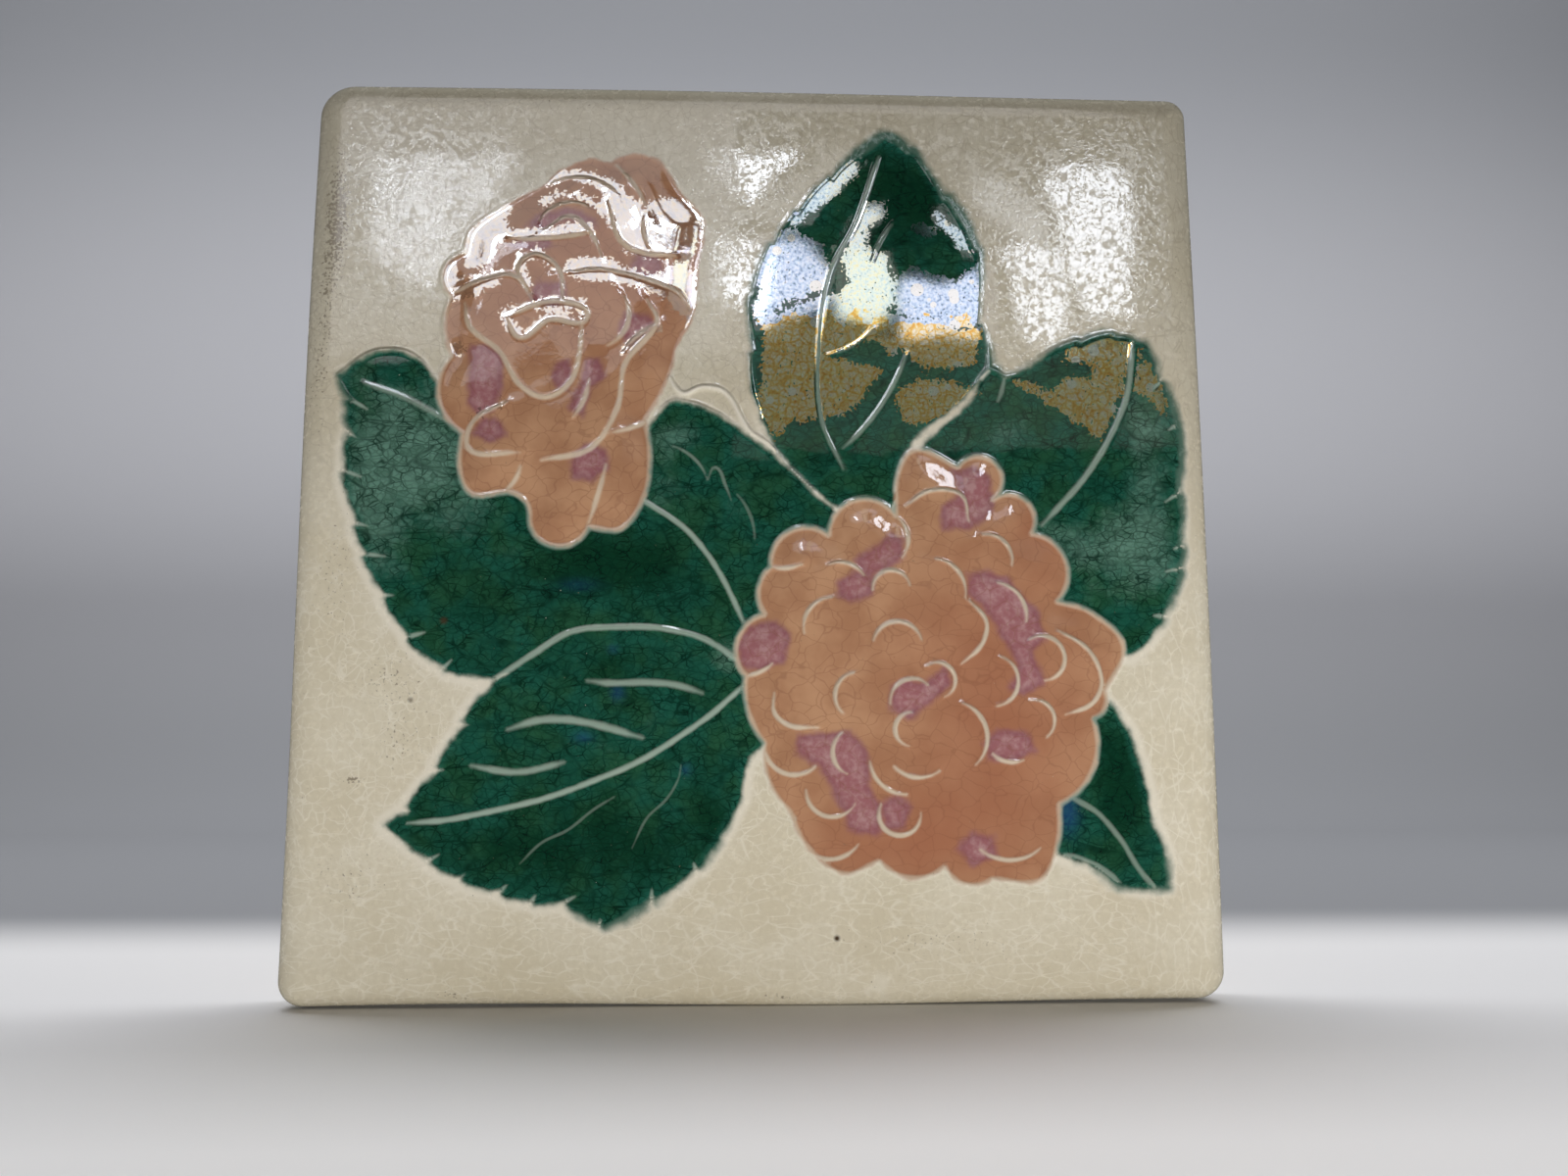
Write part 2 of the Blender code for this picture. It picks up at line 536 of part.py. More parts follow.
def distance_inside(points):
    """How far each point is inside the tile's outline."""
    half = np.array([TILE_WIDTH / 2, TILE_HEIGHT / 2])
    right, top = points[:, 0] > 0, points[:, 1] > 0
    radius = np.where(
        right, np.where(top, CORNER_TOP_RIGHT, CORNER_BOTTOM_RIGHT), np.where(top, CORNER_TOP_LEFT, CORNER_BOTTOM_LEFT)
    )
    q = np.abs(points) - half + radius[:, None]
    outside = np.linalg.norm(np.maximum(q, 0), axis=1)
    return radius - outside - np.minimum(np.max(q, axis=1), 0)


def edge_height(inset):
    """How far the rolled edge has fallen below the ground at this distance from the outline."""
    t = 1 - np.clip(inset / EDGE_ROLL_WIDTH, 0, 1)
    return -EDGE_ROLL_DROP * (1 - np.sqrt(1 - t * t))


def waved(points):
    """The slow waves that hand pressing left in the four edges."""
    x, z = points[:, 0] / (TILE_WIDTH / 2), points[:, 1] / (TILE_HEIGHT / 2)
    across = np.abs(x) ** 3 * np.where(x > 0, np.cos(1.5 * z) - 0.4, 0.7 * np.sin(2.6 * z + 0.5)) * np.sign(x)
    up = np.abs(z) ** 3 * np.where(z > 0, 0.5 * np.cos(2.2 * x + 0.4), 0.6 * np.sin(4.2 * x + 1.0)) * np.sign(z)
    return points + EDGE_WAVE * np.column_stack([across, up])


class Sheet:
    """Points on the face, kept apart from each other."""

    def __init__(self, cell):
        self.cell = cell
        self.points = []
        self.cells = {}

    def is_free(self, point, gap):
        column, row = (int(math.floor(v / self.cell)) for v in point)
        reach = int(math.ceil(gap / self.cell))
        for i in range(column - reach, column + reach + 1):
            for j in range(row - reach, row + reach + 1):
                for other in self.cells.get((i, j), ()):
                    if math.dist(other, point) < gap:
                        return False
        return True

    def add(self, point, gap):
        if not self.is_free(point, gap):
            return
        place = (float(point[0]), float(point[1]))
        self.points.append(place)
        self.cells.setdefault(tuple(int(math.floor(v / self.cell)) for v in place), []).append(place)


def evenly(line, step):
    """Points a step apart along a line, with its ends."""
    lengths = np.concatenate([[0], np.cumsum(np.linalg.norm(np.diff(line, axis=0), axis=1))])
    count = max(1, round(lengths[-1] / step))
    at = np.linspace(0, lengths[-1], count + 1)
    return np.column_stack([np.interp(at, lengths, line[:, axis]) for axis in (0, 1)])


def smooth_runs(line):
    """A line cut into its smooth runs, at the tips and notches where it turns sharply."""
    along = np.diff(line, axis=0)
    heading = np.unwrap(np.arctan2(along[:, 1], along[:, 0]))
    turns = np.abs(np.diff(heading))
    cuts = [0, *(np.flatnonzero(turns > SHARP_TURN) + 1), len(line) - 1]
    return [line[start:end + 1] for start, end in zip(cuts, cuts[1:])]


def face_points(relief, rings):
    """The face's points: its edge rings, the crest and both feet of every line, and a field between them."""
    sheet = Sheet(CLEARANCE)
    for ring in rings:
        for point in ring:
            sheet.add(point, 0)
    ground_start = EDGE_ROLL_WIDTH + CLEARANCE / 2
    lines = [run for line in relief.lines() if len(line) > 1 for run in smooth_runs(line)]
    crests = [evenly(line, STROKE_STEP) for line in lines]
    for crest in crests:
        for point in crest[distance_inside(crest) > ground_start]:
            sheet.add(point, CLEARANCE)
    finely = np.vstack([evenly(line, STROKE_STEP / 4) for line in lines])
    for crest in crests:
        along = np.gradient(crest, axis=0)
        across = np.column_stack([-along[:, 1], along[:, 0]]) / np.linalg.norm(along, axis=1)[:, None]
        for sign in (1, -1):
            foot = crest + sign * across * RIM_WIDTH / 2
            for point in foot[distance_inside(foot) > ground_start]:
                if np.min(np.linalg.norm(finely - point, axis=1)) > RIM_WIDTH * FOOT_SHARE:
                    sheet.add(point, min(CLEARANCE, RIM_WIDTH / 2) * FOOT_GAP)
    rows = int(TILE_HEIGHT / (FIELD_STEP * math.sqrt(0.75)))
    columns = int(TILE_WIDTH / FIELD_STEP)
    for row in range(-rows, rows + 1):
        for column in range(-columns, columns + 1):
            point = np.array([(column + row % 2 / 2) * FIELD_STEP, row * FIELD_STEP * math.sqrt(0.75)])
            if distance_inside(point[None])[0] > ground_start + CLEARANCE / 2:
                sheet.add(point, FIELD_STEP * FIELD_GAP)
    return np.array(sheet.points)


def tile_mesh():
    """The whole tile but for its grooves, and the kind of field that each triangle of its face lies in."""
    rings = [rounded_ring(share * EDGE_ROLL_WIDTH) for share in ROLL_SHARES]
    relief = Relief(STROKE_STEP * CREST_SHARE)
    points = face_points(relief, rings)
    count = len(rings[0])
    flat, _, triangles, _, _, _ = delaunay_2d_cdt(
        [Vector(point) for point in points], [], [list(range(count))], 1, MERGE_GAP
    )
    if len(flat) != len(points):
        raise ValueError("the face's points must stay apart")
    raised, kinds = relief.heights(points)
    front = TILE_THICKNESS + edge_height(distance_inside(points)) + raised
    face = waved(points)
    lip = TILE_THICKNESS - EDGE_ROLL_DROP
    low = waved(rounded_ring(0))
    drawn = waved(rounded_ring(SIDE_DRAFT))
    back = waved(rounded_ring(SIDE_DRAFT + BACK_CHAMFER))
    front[:count] = lip
    corners = [(x, -y, z) for (x, z), y in zip(face, front)]
    for ring, y in ((low, lip - LIP_HEIGHT), (drawn, BACK_CHAMFER), (back, 0.0)):
        corners.extend((x, -y, z) for x, z in ring)
    faces = [tuple(triangle) for triangle in triangles]
    kinds_of_faces = [face_kind([kinds[corner] for corner in triangle]) for triangle in faces]
    bases = (0, len(points), len(points) + count, len(points) + 2 * count)
    for upper, lower in zip(bases[:-1], bases[1:]):
        for i in range(count):
            j = (i + 1) % count
            faces.append((upper + j, upper + i, lower + i, lower + j))
            kinds_of_faces.append("ground" if lower == bases[1] else "biscuit")
    faces.append(tuple(bases[3] + i for i in reversed(range(count))))
    kinds_of_faces.append("biscuit")
    return corners, faces, kinds_of_faces


def face_kind(kinds):
    """The field that most of a triangle's corners lie in."""
    return max(sorted(set(kinds)), key=kinds.count)


def glaze(name, colour, roughness):
    """A Principled material of one colour."""
    material = bpy.data.materials.new(name)
    material.use_nodes = True
    shader = material.node_tree.nodes["Principled BSDF"]
    shader.inputs["Base Color"].default_value = (*colour, 1.0)
    shader.inputs["Roughness"].default_value = roughness
    return material


def groove_cutter():
    """Boxes across the back, one for each keying groove, with a land of clay at the tile's middle."""
    pitch = (TILE_WIDTH - 2 * GROOVE_MARGIN) / GROOVE_COUNT
    vertices, faces = [], []
    for number in range(GROOVE_COUNT):
        middle = (number - (GROOVE_COUNT - 1) / 2) * pitch
        base = len(vertices)
        for y in (-GROOVE_DEPTH, GROOVE_DEPTH):
            for z in (-1, 1):
                for x in (-1, 1):
                    vertices.append(
                        (middle + x * GROOVE_WIDTH / 2, y, z * (TILE_HEIGHT / 2 - GROOVE_MARGIN))
                    )
        for corners in ((0, 1, 3, 2), (5, 4, 6, 7), (1, 0, 4, 5), (2, 3, 7, 6), (0, 2, 6, 4), (3, 1, 5, 7)):
            faces.append([base + corner for corner in corners])
    mesh = bpy.data.meshes.new("groove_cutter")
    mesh.from_pydata(vertices, [], faces)
    cutter = bpy.data.objects.new("groove_cutter", mesh)
    cutter.hide_render = True
    cutter.display_type = "WIRE"
    bpy.context.collection.objects.link(cutter)
    return cutter


def build_tile():
    """The tile with its glazes, cut by the grooves."""
    vertices, faces, kinds = tile_mesh()
    mesh = bpy.data.meshes.new("tile")
    mesh.from_pydata(vertices, [], faces)
    names = list(GLAZES)
    for name in names:
        mesh.materials.append(glaze(*GLAZES[name]))
    mesh.polygons.foreach_set("material_index", [names.index(kind) for kind in kinds])
    mesh.polygons.foreach_set("use_smooth", [kind != "biscuit" for kind in kinds])
    mesh.update()
    tile = bpy.data.objects.new("tile", mesh)
    bpy.context.collection.objects.link(tile)
    cut = tile.modifiers.new("keying_grooves", "BOOLEAN")
    cut.operation = "DIFFERENCE"
    cut.object = groove_cutter()
    return tile


for thing in list(bpy.data.objects):
    bpy.data.objects.remove(thing, do_unlink=True)
build_tile()
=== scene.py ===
"""The looks of a moulded majolica tile: a finely modelled glazed face on a bare biscuit back, and its studio.

Metres, +Z up. X runs across the tile and Z up it. The back lies on the plane y = 0 and the face looks
towards -Y. The ornament is drawn in millimetres on a master sheet, as in the part's own source.
"""

import math

import bpy
import numpy as np
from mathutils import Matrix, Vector, noise
from mathutils.geometry import delaunay_2d_cdt


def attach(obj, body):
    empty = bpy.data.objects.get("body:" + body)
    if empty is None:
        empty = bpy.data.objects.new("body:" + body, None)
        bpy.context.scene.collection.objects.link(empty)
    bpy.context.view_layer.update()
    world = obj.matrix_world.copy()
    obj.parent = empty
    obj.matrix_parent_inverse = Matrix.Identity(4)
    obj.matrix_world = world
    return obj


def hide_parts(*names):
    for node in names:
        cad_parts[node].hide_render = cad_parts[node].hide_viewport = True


# The body of the tile
TILE_WIDTH = 0.152
TILE_HEIGHT = 0.155
TILE_THICKNESS = 0.010
CORNER_TOP_LEFT = 0.0060
CORNER_TOP_RIGHT = 0.0036
CORNER_BOTTOM_RIGHT = 0.0046
CORNER_BOTTOM_LEFT = 0.0042
EDGE_ROLL_WIDTH = 0.0050
EDGE_ROLL_DROP = 0.0032
LIP_HEIGHT = 0.0010
SIDE_DRAFT = 0.0012
BACK_CHAMFER = 0.0006
EDGE_WAVE = 0.00045

# The keying grooves across the back
GROOVE_COUNT = 8
GROOVE_WIDTH = 0.006
GROOVE_DEPTH = 0.001
GROOVE_MARGIN = 0.014
GROOVE_BEND = 0.0007

# The relief above the plain ground
RIM_WIDTH = 0.0014
RIM_HEIGHT = 0.00050
LEAF_SHOULDER = 0.0040
LEAF_LIFT = 0.00002
BLOSSOM_SHOULDER = 0.0050
BLOSSOM_LIFT = 0.0004
BLOSSOM_MOUND = 0.0006
MOUND_WIDTH = 0.0150
PETAL_STEP = 0.00018
PETAL_STEP_WIDTH = 0.0030
TOOTH_DEPTH = 0.0007
TOOTH_BELLY = 0.00035
TOOTH_LEAN = 0.35
SLIT_LENGTH = 0.0034

# The pressed clay's slow swell and the glaze's ripple: how far apart their crests lie, and how high they are
SWELL_SPACING = 0.030
SWELL_HEIGHT = 0.00007
RIPPLE_SPACING = 0.0050
RIPPLE_HEIGHT = 0.000012

# How finely the face is cut: rows beside each stroke, points along it, rings round a speck, each by its share
# of the speck's radius and its number of points, and the field between
STROKE_ROWS = (0.0, 0.00024, 0.00048, 0.00072, 0.00100)
STROKE_STEP = 0.0006
SPECK_RINGS = ((0.5, 6), (1.0, 10), (1.6, 14))
FIELD_STEP = 0.00085
CLEARANCE = 0.00020
SHARP_TURN = math.radians(35)
SIDE_COUNT = 150
CORNER_COUNT = 12
ROLL_SHARES = (0.0, 0.015, 0.05, 0.11, 0.19, 0.29, 0.41, 0.55, 0.70, 0.85, 1.0)

# The ornament is drawn in millimetres on a master sheet of this size and middle, and shrunk to fit the tile
MASTER_WIDTH = 154.8
MASTER_HEIGHT = 156.8
MASTER_MIDDLE = (0.0, 0.6)

# A blossom is a ring of lobes. Each lobe starts where the one before it ends: crown points, then its cusp.
LEFT_BLOSSOM = (
    ((-53.6, 34.0), (-52.6, 39.6)),
    ((-54.1, 44.0), (-50.7, 47.4)),
    ((-49.6, 51.5), (-44.8, 55.4), (-37.0, 60.0)),
    ((-33.9, 62.8), (-29.5, 64.7), (-25.7, 63.9)),
    ((-21.3, 65.7), (-15.2, 61.7)),
    ((-13.4, 58.6), (-9.6, 54.0), (-9.6, 49.5)),
    ((-10.4, 45.3), (-11.0, 38.0), (-13.9, 30.9)),
    ((-15.7, 24.5), (-19.1, 18.3)),
    ((-18.3, 12.2), (-19.0, 5.5), (-22.9, -0.5), (-28.4, -0.3)),
    ((-33.5, -3.6), (-38.4, 1.4)),
    ((-39.2, 4.2), (-43.0, 5.5)),
    ((-48.2, 5.3), (-50.3, 10.0), (-50.0, 15.7)),
    ((-54.3, 22.4), (-52.2, 29.1)),
)

RIGHT_BLOSSOM = (
    ((23.8, 9.0), (27.0, 13.4), (34.2, 10.4)),
    ((38.6, 12.2), (40.0, 4.8)),
    ((45.3, 5.0), (46.5, -1.0)),
    ((52.2, -5.5), (50.5, -12.5)),
    ((56.0, -14.2), (61.6, -20.0), (58.2, -27.5)),
    ((58.2, -30.2), (56.0, -32.0)),
    ((56.5, -38.0), (50.0, -46.0)),
    ((49.6, -52.0), (46.5, -58.2), (38.5, -58.0)),
    ((34.5, -58.9), (30.7, -56.0)),
    ((25.0, -57.7), (20.0, -55.0)),
    ((14.0, -57.0), (8.0, -52.5), (5.2, -46.8)),
    ((2.0, -42.5), (1.2, -36.0)),
    ((-1.5, -31.0), (-2.0, -25.0)),
    ((-3.5, -19.5), (1.2, -14.8)),
    ((0.2, -10.0), (2.2, -6.8)),
    ((5.2, -0.9), (12.0, -1.5)),
    ((17.0, 4.7), (23.4, 2.0)),
)

# Petal rims. Three points make an arc: where it starts, its crown and where it ends. More make a smooth curve.
LEFT_PETALS = (
    ((-50.2, 38.3), (-49.1, 33.9), (-43.9, 29.6), (-40.4, 23.9), (-35.7, 21.7), (-31.3, 25.5), (-30.0, 35.0)),
    ((-43.0, 35.7), (-40.4, 32.0), (-35.7, 35.2), (-30.0, 34.8), (-29.4, 37.2), (-35.7, 38.5), (-43.0, 35.7)),
    ((-38.7, 39.6), (-41.3, 44.3), (-38.5, 47.0), (-34.2, 44.2), (-33.5, 39.1)),
    ((-38.7, 38.7), (-41.7, 43.0), (-46.5, 42.6), (-52.6, 40.0)),
    ((-37.8, 53.0), (-34.0, 56.2), (-29.6, 55.7)),
    ((-37.0, 51.3), (-32.5, 53.8), (-28.7, 50.4), (-27.0, 46.5)),
    ((-43.0, 49.8), (-36.5, 49.8), (-28.7, 50.9)),
    ((-33.0, 43.9), (-26.1, 44.3), (-14.3, 40.9), (-11.7, 37.8)),
    ((-19.1, 39.1), (-17.4, 35.0), (-22.6, 27.8), (-23.9, 20.0), (-28.3, 13.0), (-36.5, 10.9)),
    ((-23.0, 39.6), (-22.3, 35.0), (-25.7, 30.9)),
    ((-17.6, 34.8), (-20.6, 32.8), (-23.0, 30.0)),
    ((-42.6, 20.9), (-48.3, 17.4), (-48.4, 12.6), (-40.0, 12.2)),
    ((-28.7, 24.8), (-29.6, 21.2), (-31.3, 18.3)),
    ((-16.1, 20.0), (-20.5, 17.2), (-25.2, 15.7)),
    ((-39.9, 9.9), (-41.0, 7.4), (-43.0, 5.5)),
    ((-25.6, 10.3), (-26.8, 5.3), (-28.4, 0.5)),
    ((-25.2, 63.9), (-22.0, 60.2), (-19.6, 56.1)),
    ((-36.5, 60.0), (-29.8, 61.0), (-23.9, 57.4)),
    ((-26.1, 56.5), (-23.9, 49.6), (-20.0, 47.4), (-14.3, 47.0)),
    ((-19.8, 53.9), (-19.9, 51.0), (-18.9, 48.3)),
)

RIGHT_PETALS = (
    ((25.0, 3.5), (29.0, 6.1), (34.5, 5.5), (35.7, 1.0)),
    ((23.4, 2.0), (25.4, -1.8), (24.3, -5.3)),
    ((38.0, -1.3), (41.8, -2.6), (42.8, -6.5)),
    ((12.0, -6.5), (15.2, -6.3), (17.8, -8.3)),
    ((19.3, -10.8), (22.3, -7.4), (25.5, -10.0)),
    ((12.3, -12.0), (8.8, -13.8), (7.8, -18.0)),
    ((19.3, -19.2), (23.5, -16.0), (27.3, -19.0)),
    ((30.0, -5.5), (33.9, -7.8), (34.8, -12.0)),
    ((35.5, -12.5), (38.3, -16.0), (37.3, -20.0), (34.0, -23.0)),
    ((40.3, -9.5), (44.0, -11.6), (45.0, -16.0)),
    ((45.5, -19.0), (51.3, -21.8), (47.8, -25.8)),
    ((40.5, -21.8), (43.4, -25.8), (39.8, -30.0)),
    ((22.0, -29.5), (24.8, -25.6), (28.3, -26.5)),
    ((28.3, -23.3), (32.5, -24.3), (31.0, -28.5)),
    ((25.5, -31.0), (22.7, -33.8), (25.0, -36.5)),
    ((34.0, -29.5), (38.0, -34.5), (36.0, -39.5)),
    ((22.5, -39.8), (26.3, -41.6), (30.0, -40.5)),
    ((14.0, -34.3), (12.4, -37.5), (14.8, -41.0)),
    ((18.5, -39.0), (20.3, -42.6), (24.5, -44.3)),
    ((20.3, -45.8), (22.3, -50.7), (26.8, -47.3)),
    ((8.0, -43.5), (11.6, -47.8), (16.0, -45.8)),
    ((38.8, -37.8), (41.2, -39.1), (44.0, -38.8)),
    ((45.5, -29.0), (49.3, -31.8), (48.0, -35.0)),
    ((2.8, -27.8), (2.8, -31.0), (5.4, -33.2), (10.0, -33.5)),
    ((16.0, -24.5), (12.9, -27.6), (14.0, -31.0)),
    ((36.5, -53.2), (41.5, -54.9), (46.5, -53.0)),
    ((50.5, -17.5), (55.3, -20.6), (57.6, -25.8), (55.8, -29.6), (51.2, -31.4)),
    ((2.2, -6.8), (4.8, -7.1), (7.5, -6.5)),
    ((-2.0, -25.0), (0.4, -24.4), (2.5, -23.0)),
    ((1.2, -36.0), (3.2, -40.2), (9.5, -39.8)),
    ((6.3, -48.0), (8.6, -53.6), (16.5, -52.2)),
)

# Leaf outlines. The toothed edges are lists of tooth tips from the stalk to the point of the leaf.
LEFT_LEAF_TOP = ((-50.0, 20.0), (-55.0, 25.3), (-58.5, 29.0), (-62.0, 30.0), (-66.0, 29.3), (-71.0, 25.5))
LEFT_LEAF_TEETH = (
    (-41.5, -25.6), (-51.7, -24.6), (-58.0, -19.4), (-62.4, -12.4), (-65.8, -5.5),
    (-67.5, -0.3), (-69.7, 8.6), (-69.3, 15.3), (-69.4, 21.0), (-71.0, 25.5),
)
MIDDLE_LEAF_TOP = (
    (14.0, 2.0), (8.0, 7.4), (2.5, 12.6), (-2.0, 16.0), (-6.0, 18.8), (-11.0, 21.0), (-15.0, 21.3),
    (-20.0, 15.0),
)
LOW_LEAF_TOP = (
    (4.0, -28.0), (-2.0, -23.4), (-8.3, -19.2), (-15.5, -17.2), (-24.0, -17.0), (-31.0, -17.8),
    (-37.0, -21.4), (-42.7, -25.2),
)
LOW_LEAF_UPPER_TEETH = ((-42.7, -25.2), (-48.6, -32.4), (-52.7, -39.8), (-57.3, -46.2), (-60.8, -49.2))
LOW_LEAF_LOWER_TEETH = (
    (-2.4, -45.0), (-9.2, -56.3), (-16.4, -61.2), (-24.7, -65.2), (-31.0, -62.0), (-36.0, -61.9),
    (-41.4, -60.4), (-47.9, -58.3), (-53.1, -55.4), (-60.8, -49.2),
)
LOW_LEAF_STALK = ((4.0, -28.0), (2.0, -36.0), (-1.2, -38.5), (-2.4, -45.0))
TOP_LEAF_LEFT_TEETH = (
    (-0.8, 22.0), (-1.6, 30.0), (-1.6, 40.2), (2.0, 49.6), (6.2, 55.8), (12.2, 62.2), (17.4, 66.2),
    (22.5, 69.4),
)
TOP_LEAF_STALK = ((23.0, 2.0), (14.0, 3.0), (8.0, 7.8), (2.6, 13.8), (-0.8, 22.0))
TOP_LEAF_RIGHT_TEETH = (
    (39.8, 27.5), (38.9, 35.6), (38.6, 48.8), (33.2, 58.4), (27.2, 67.0), (22.5, 69.4),
)
TOP_LEAF_RIDGE = ((23.0, 2.0), (24.0, 9.0), (27.0, 15.3), (33.5, 20.4), (39.8, 27.5))
RIGHT_LEAF_TOP = ((22.0, 2.0), (28.0, 14.0), (36.5, 22.0), (39.8, 27.5), (43.3, 26.4), (48.3, 29.2))
RIGHT_LEAF_TOP_TEETH = ((48.3, 29.2), (55.4, 32.9), (61.7, 34.2), (67.8, 32.3))
RIGHT_LEAF_TEETH = (
    (62.6, -22.0), (68.6, -15.6), (71.7, -7.4), (72.2, -3.6), (72.2, 5.6), (72.6, 17.6), (70.2, 25.6),
    (67.8, 32.3),
)
RIGHT_LEAF_STALK = ((22.0, 2.0), (40.0, -12.0), (62.6, -22.0))
CORNER_LEAF_EDGE = (
    (54.0, -28.0), (57.8, -29.0), (62.0, -33.9), (63.5, -38.7), (64.8, -43.5), (65.6, -49.1), (67.5, -53.8),
    (67.6, -59.6),
)
CORNER_LEAF_FOOT = ((67.6, -59.6), (63.3, -59.9), (59.0, -59.0), (55.5, -56.4), (50.0, -54.4), (44.0, -52.0))
CORNER_LEAF_STALK = ((44.0, -52.0), (46.0, -36.0), (54.0, -28.0))

# Ribs and veins of the leaves, and free ridges: how tall, how pale and how wide each is, and its points
LEFT_RIBS = (
    (0.20, 0.50, 0.9, ((-66.7, 24.2), (-59.9, 21.8), (-53.0, 18.2), (-44.0, 14.5))),
    (
        0.25, 0.85, 0.9,
        ((-24.0, 7.0), (-17.6, 3.3), (-12.1, -0.5), (-7.9, -5.5), (-4.6, -11.2), (-2.0, -17.0)),
    ),
    (0.10, 0.45, 0.6, ((-14.4, 13.7), (-11.4, 12.1), (-8.5, 7.9))),
    (0.10, 0.40, 0.6, ((-8.5, 7.9), (-7.2, 10.1), (-5.5, 7.1), (-4.5, 4.5))),
    (0.05, 0.30, 0.6, ((-3.5, 5.5), (-1.5, 2.5), (-0.5, -2.0))),
)
LOW_RIBS = (
    (
        0.25, 0.95, 0.95,
        (
            (-56.8, -48.8), (-50.5, -48.3), (-42.6, -46.8), (-34.7, -44.9), (-26.8, -42.1), (-18.9, -38.7),
            (-11.7, -34.2), (-6.9, -30.7), (-1.6, -26.0),
        ),
    ),
    (0.20, 0.75, 1.1, ((-28.2, -25.8), (-24.8, -26.2), (-18.3, -26.1), (-13.4, -26.5), (-9.0, -27.9))),
    (0.20, 0.80, 1.2, ((-41.0, -33.8), (-35.9, -32.3), (-31.1, -32.2), (-26.2, -33.1), (-18.8, -35.2))),
    (0.20, 0.80, 1.1, ((-46.8, -39.6), (-42.0, -40.5), (-38.0, -40.6), (-31.5, -39.1))),
    (0.05, 0.30, 0.5, ((-38.4, -55.3), (-35.0, -52.0), (-30.7, -49.9), (-26.8, -46.8), (-23.4, -44.7))),
    (0.05, 0.28, 0.45, ((-20.3, -52.8), (-18.0, -48.1), (-14.8, -45.0), (-12.9, -41.8), (-12.5, -39.6))),
)
TOP_RIBS = (
    (0.20, 0.50, 0.8, ((21.3, 66.0), (17.0, 53.5), (12.5, 44.5), (10.5, 32.0), (10.8, 19.0), (14.5, 10.0))),
    (0.10, 0.30, 0.7, ((23.5, 53.5), (21.5, 50.4), (20.0, 47.0))),
    (0.20, 0.30, 0.7, ((20.0, 35.0), (17.0, 32.0), (12.5, 30.0))),
    (0.20, 0.60, 0.9, ((25.5, 30.0), (21.8, 22.2), (14.5, 13.5))),
)
RIGHT_RIBS = (
    (0.25, 0.70, 1.0, ((65.2, 32.8), (63.3, 21.9), (57.0, 10.2), (48.3, 0.4))),
    (0.20, 0.50, 0.8, ((42.6, 27.1), (42.2, 24.4), (41.3, 21.9))),
)
CORNER_RIBS = (
    (
        0.20, 0.55, 0.9,
        ((50.0, -43.6), (52.3, -45.1), (56.3, -47.5), (60.2, -52.2), (62.5, -56.1), (65.8, -60.4)),
    ),
    (0.20, 0.60, 0.9, ((47.5, -54.5), (51.0, -54.4), (54.4, -55.3), (58.4, -57.7), (60.7, -60.6))),
    (0.10, 0.60, 0.6, ((63.4, -56.8), (65.0, -59.0), (66.6, -60.6))),
)
FREE_RIDGES = (
    (
        1.0, 0.9, 1.0,
        (
            (-16.0, 27.0), (-13.0, 22.9), (-9.5, 24.0), (-5.5, 23.0), (-1.6, 16.6), (2.5, 13.6), (8.0, 7.6),
            (14.5, 3.5),
        ),
    ),
)

# Places where a leaf's edge stands up as a ridge: middle, reach across and up, and how much taller it is there
EDGE_RIDGES = (
    (-62.0, 29.0, 9.0, 4.0, 0.9),
    (-10.0, 21.0, 8.0, 4.0, 0.8),
    (-1.0, 26.0, 3.0, 6.0, 0.6),
    (54.0, 32.0, 10.0, 3.0, 0.5),
    (40.0, 27.0, 3.0, 3.0, 0.6),
)

# Places where a blossom's edge is neither raised nor pale: middle, reach across and up, and how much of it is
# lost
DULL_EDGES = (
    (-32.0, 56.0, 26.0, 22.0, 1.0),
    (-12.0, 40.0, 8.0, 20.0, 0.8),
)

# Plum painted over the coral of the blossoms, as closed outlines
LEFT_PLUM = (
    ((-39.6, 38.4), (-38.6, 40.6), (-37.6, 42.4), (-35.4, 41.6), (-33.4, 42.4), (-33.0, 39.4), (-34.6, 37.8)),
    ((-41.0, 51.8), (-37.4, 54.4), (-32.8, 55.2), (-28.4, 53.4), (-28.2, 51.8), (-33.0, 53.2), (-37.0, 51.2)),
    ((-43.5, 48.4), (-40.6, 50.0), (-36.0, 49.8), (-34.8, 48.2), (-39.0, 47.4)),
    ((-49.0, 31.0), (-46.0, 30.8), (-43.6, 29.2), (-43.4, 24.0), (-44.6, 19.4), (-47.0, 18.4), (-49.2, 20.6)),
    ((-48.3, 15.6), (-46.4, 18.2), (-43.4, 17.6), (-42.4, 15.0), (-45.4, 13.8)),
    ((-34.9, 25.0), (-34.2, 28.0), (-32.0, 28.3), (-31.3, 25.4), (-32.4, 23.0), (-34.2, 23.2)),
    ((-30.0, 24.8), (-29.6, 28.4), (-26.6, 28.7), (-26.0, 25.4), (-28.4, 23.4), (-29.6, 18.7), (-32.4, 19.6)),
    ((-23.9, 33.4), (-23.0, 36.6), (-18.6, 36.4), (-17.4, 34.6), (-20.4, 32.6), (-22.4, 30.4)),
    ((-31.7, 10.4), (-29.4, 13.9), (-25.4, 13.0), (-25.2, 9.4), (-28.0, 7.4), (-31.2, 8.2)),
    ((-22.0, 44.2), (-21.0, 47.4), (-16.8, 46.6), (-16.5, 43.6), (-19.4, 43.0)),
)
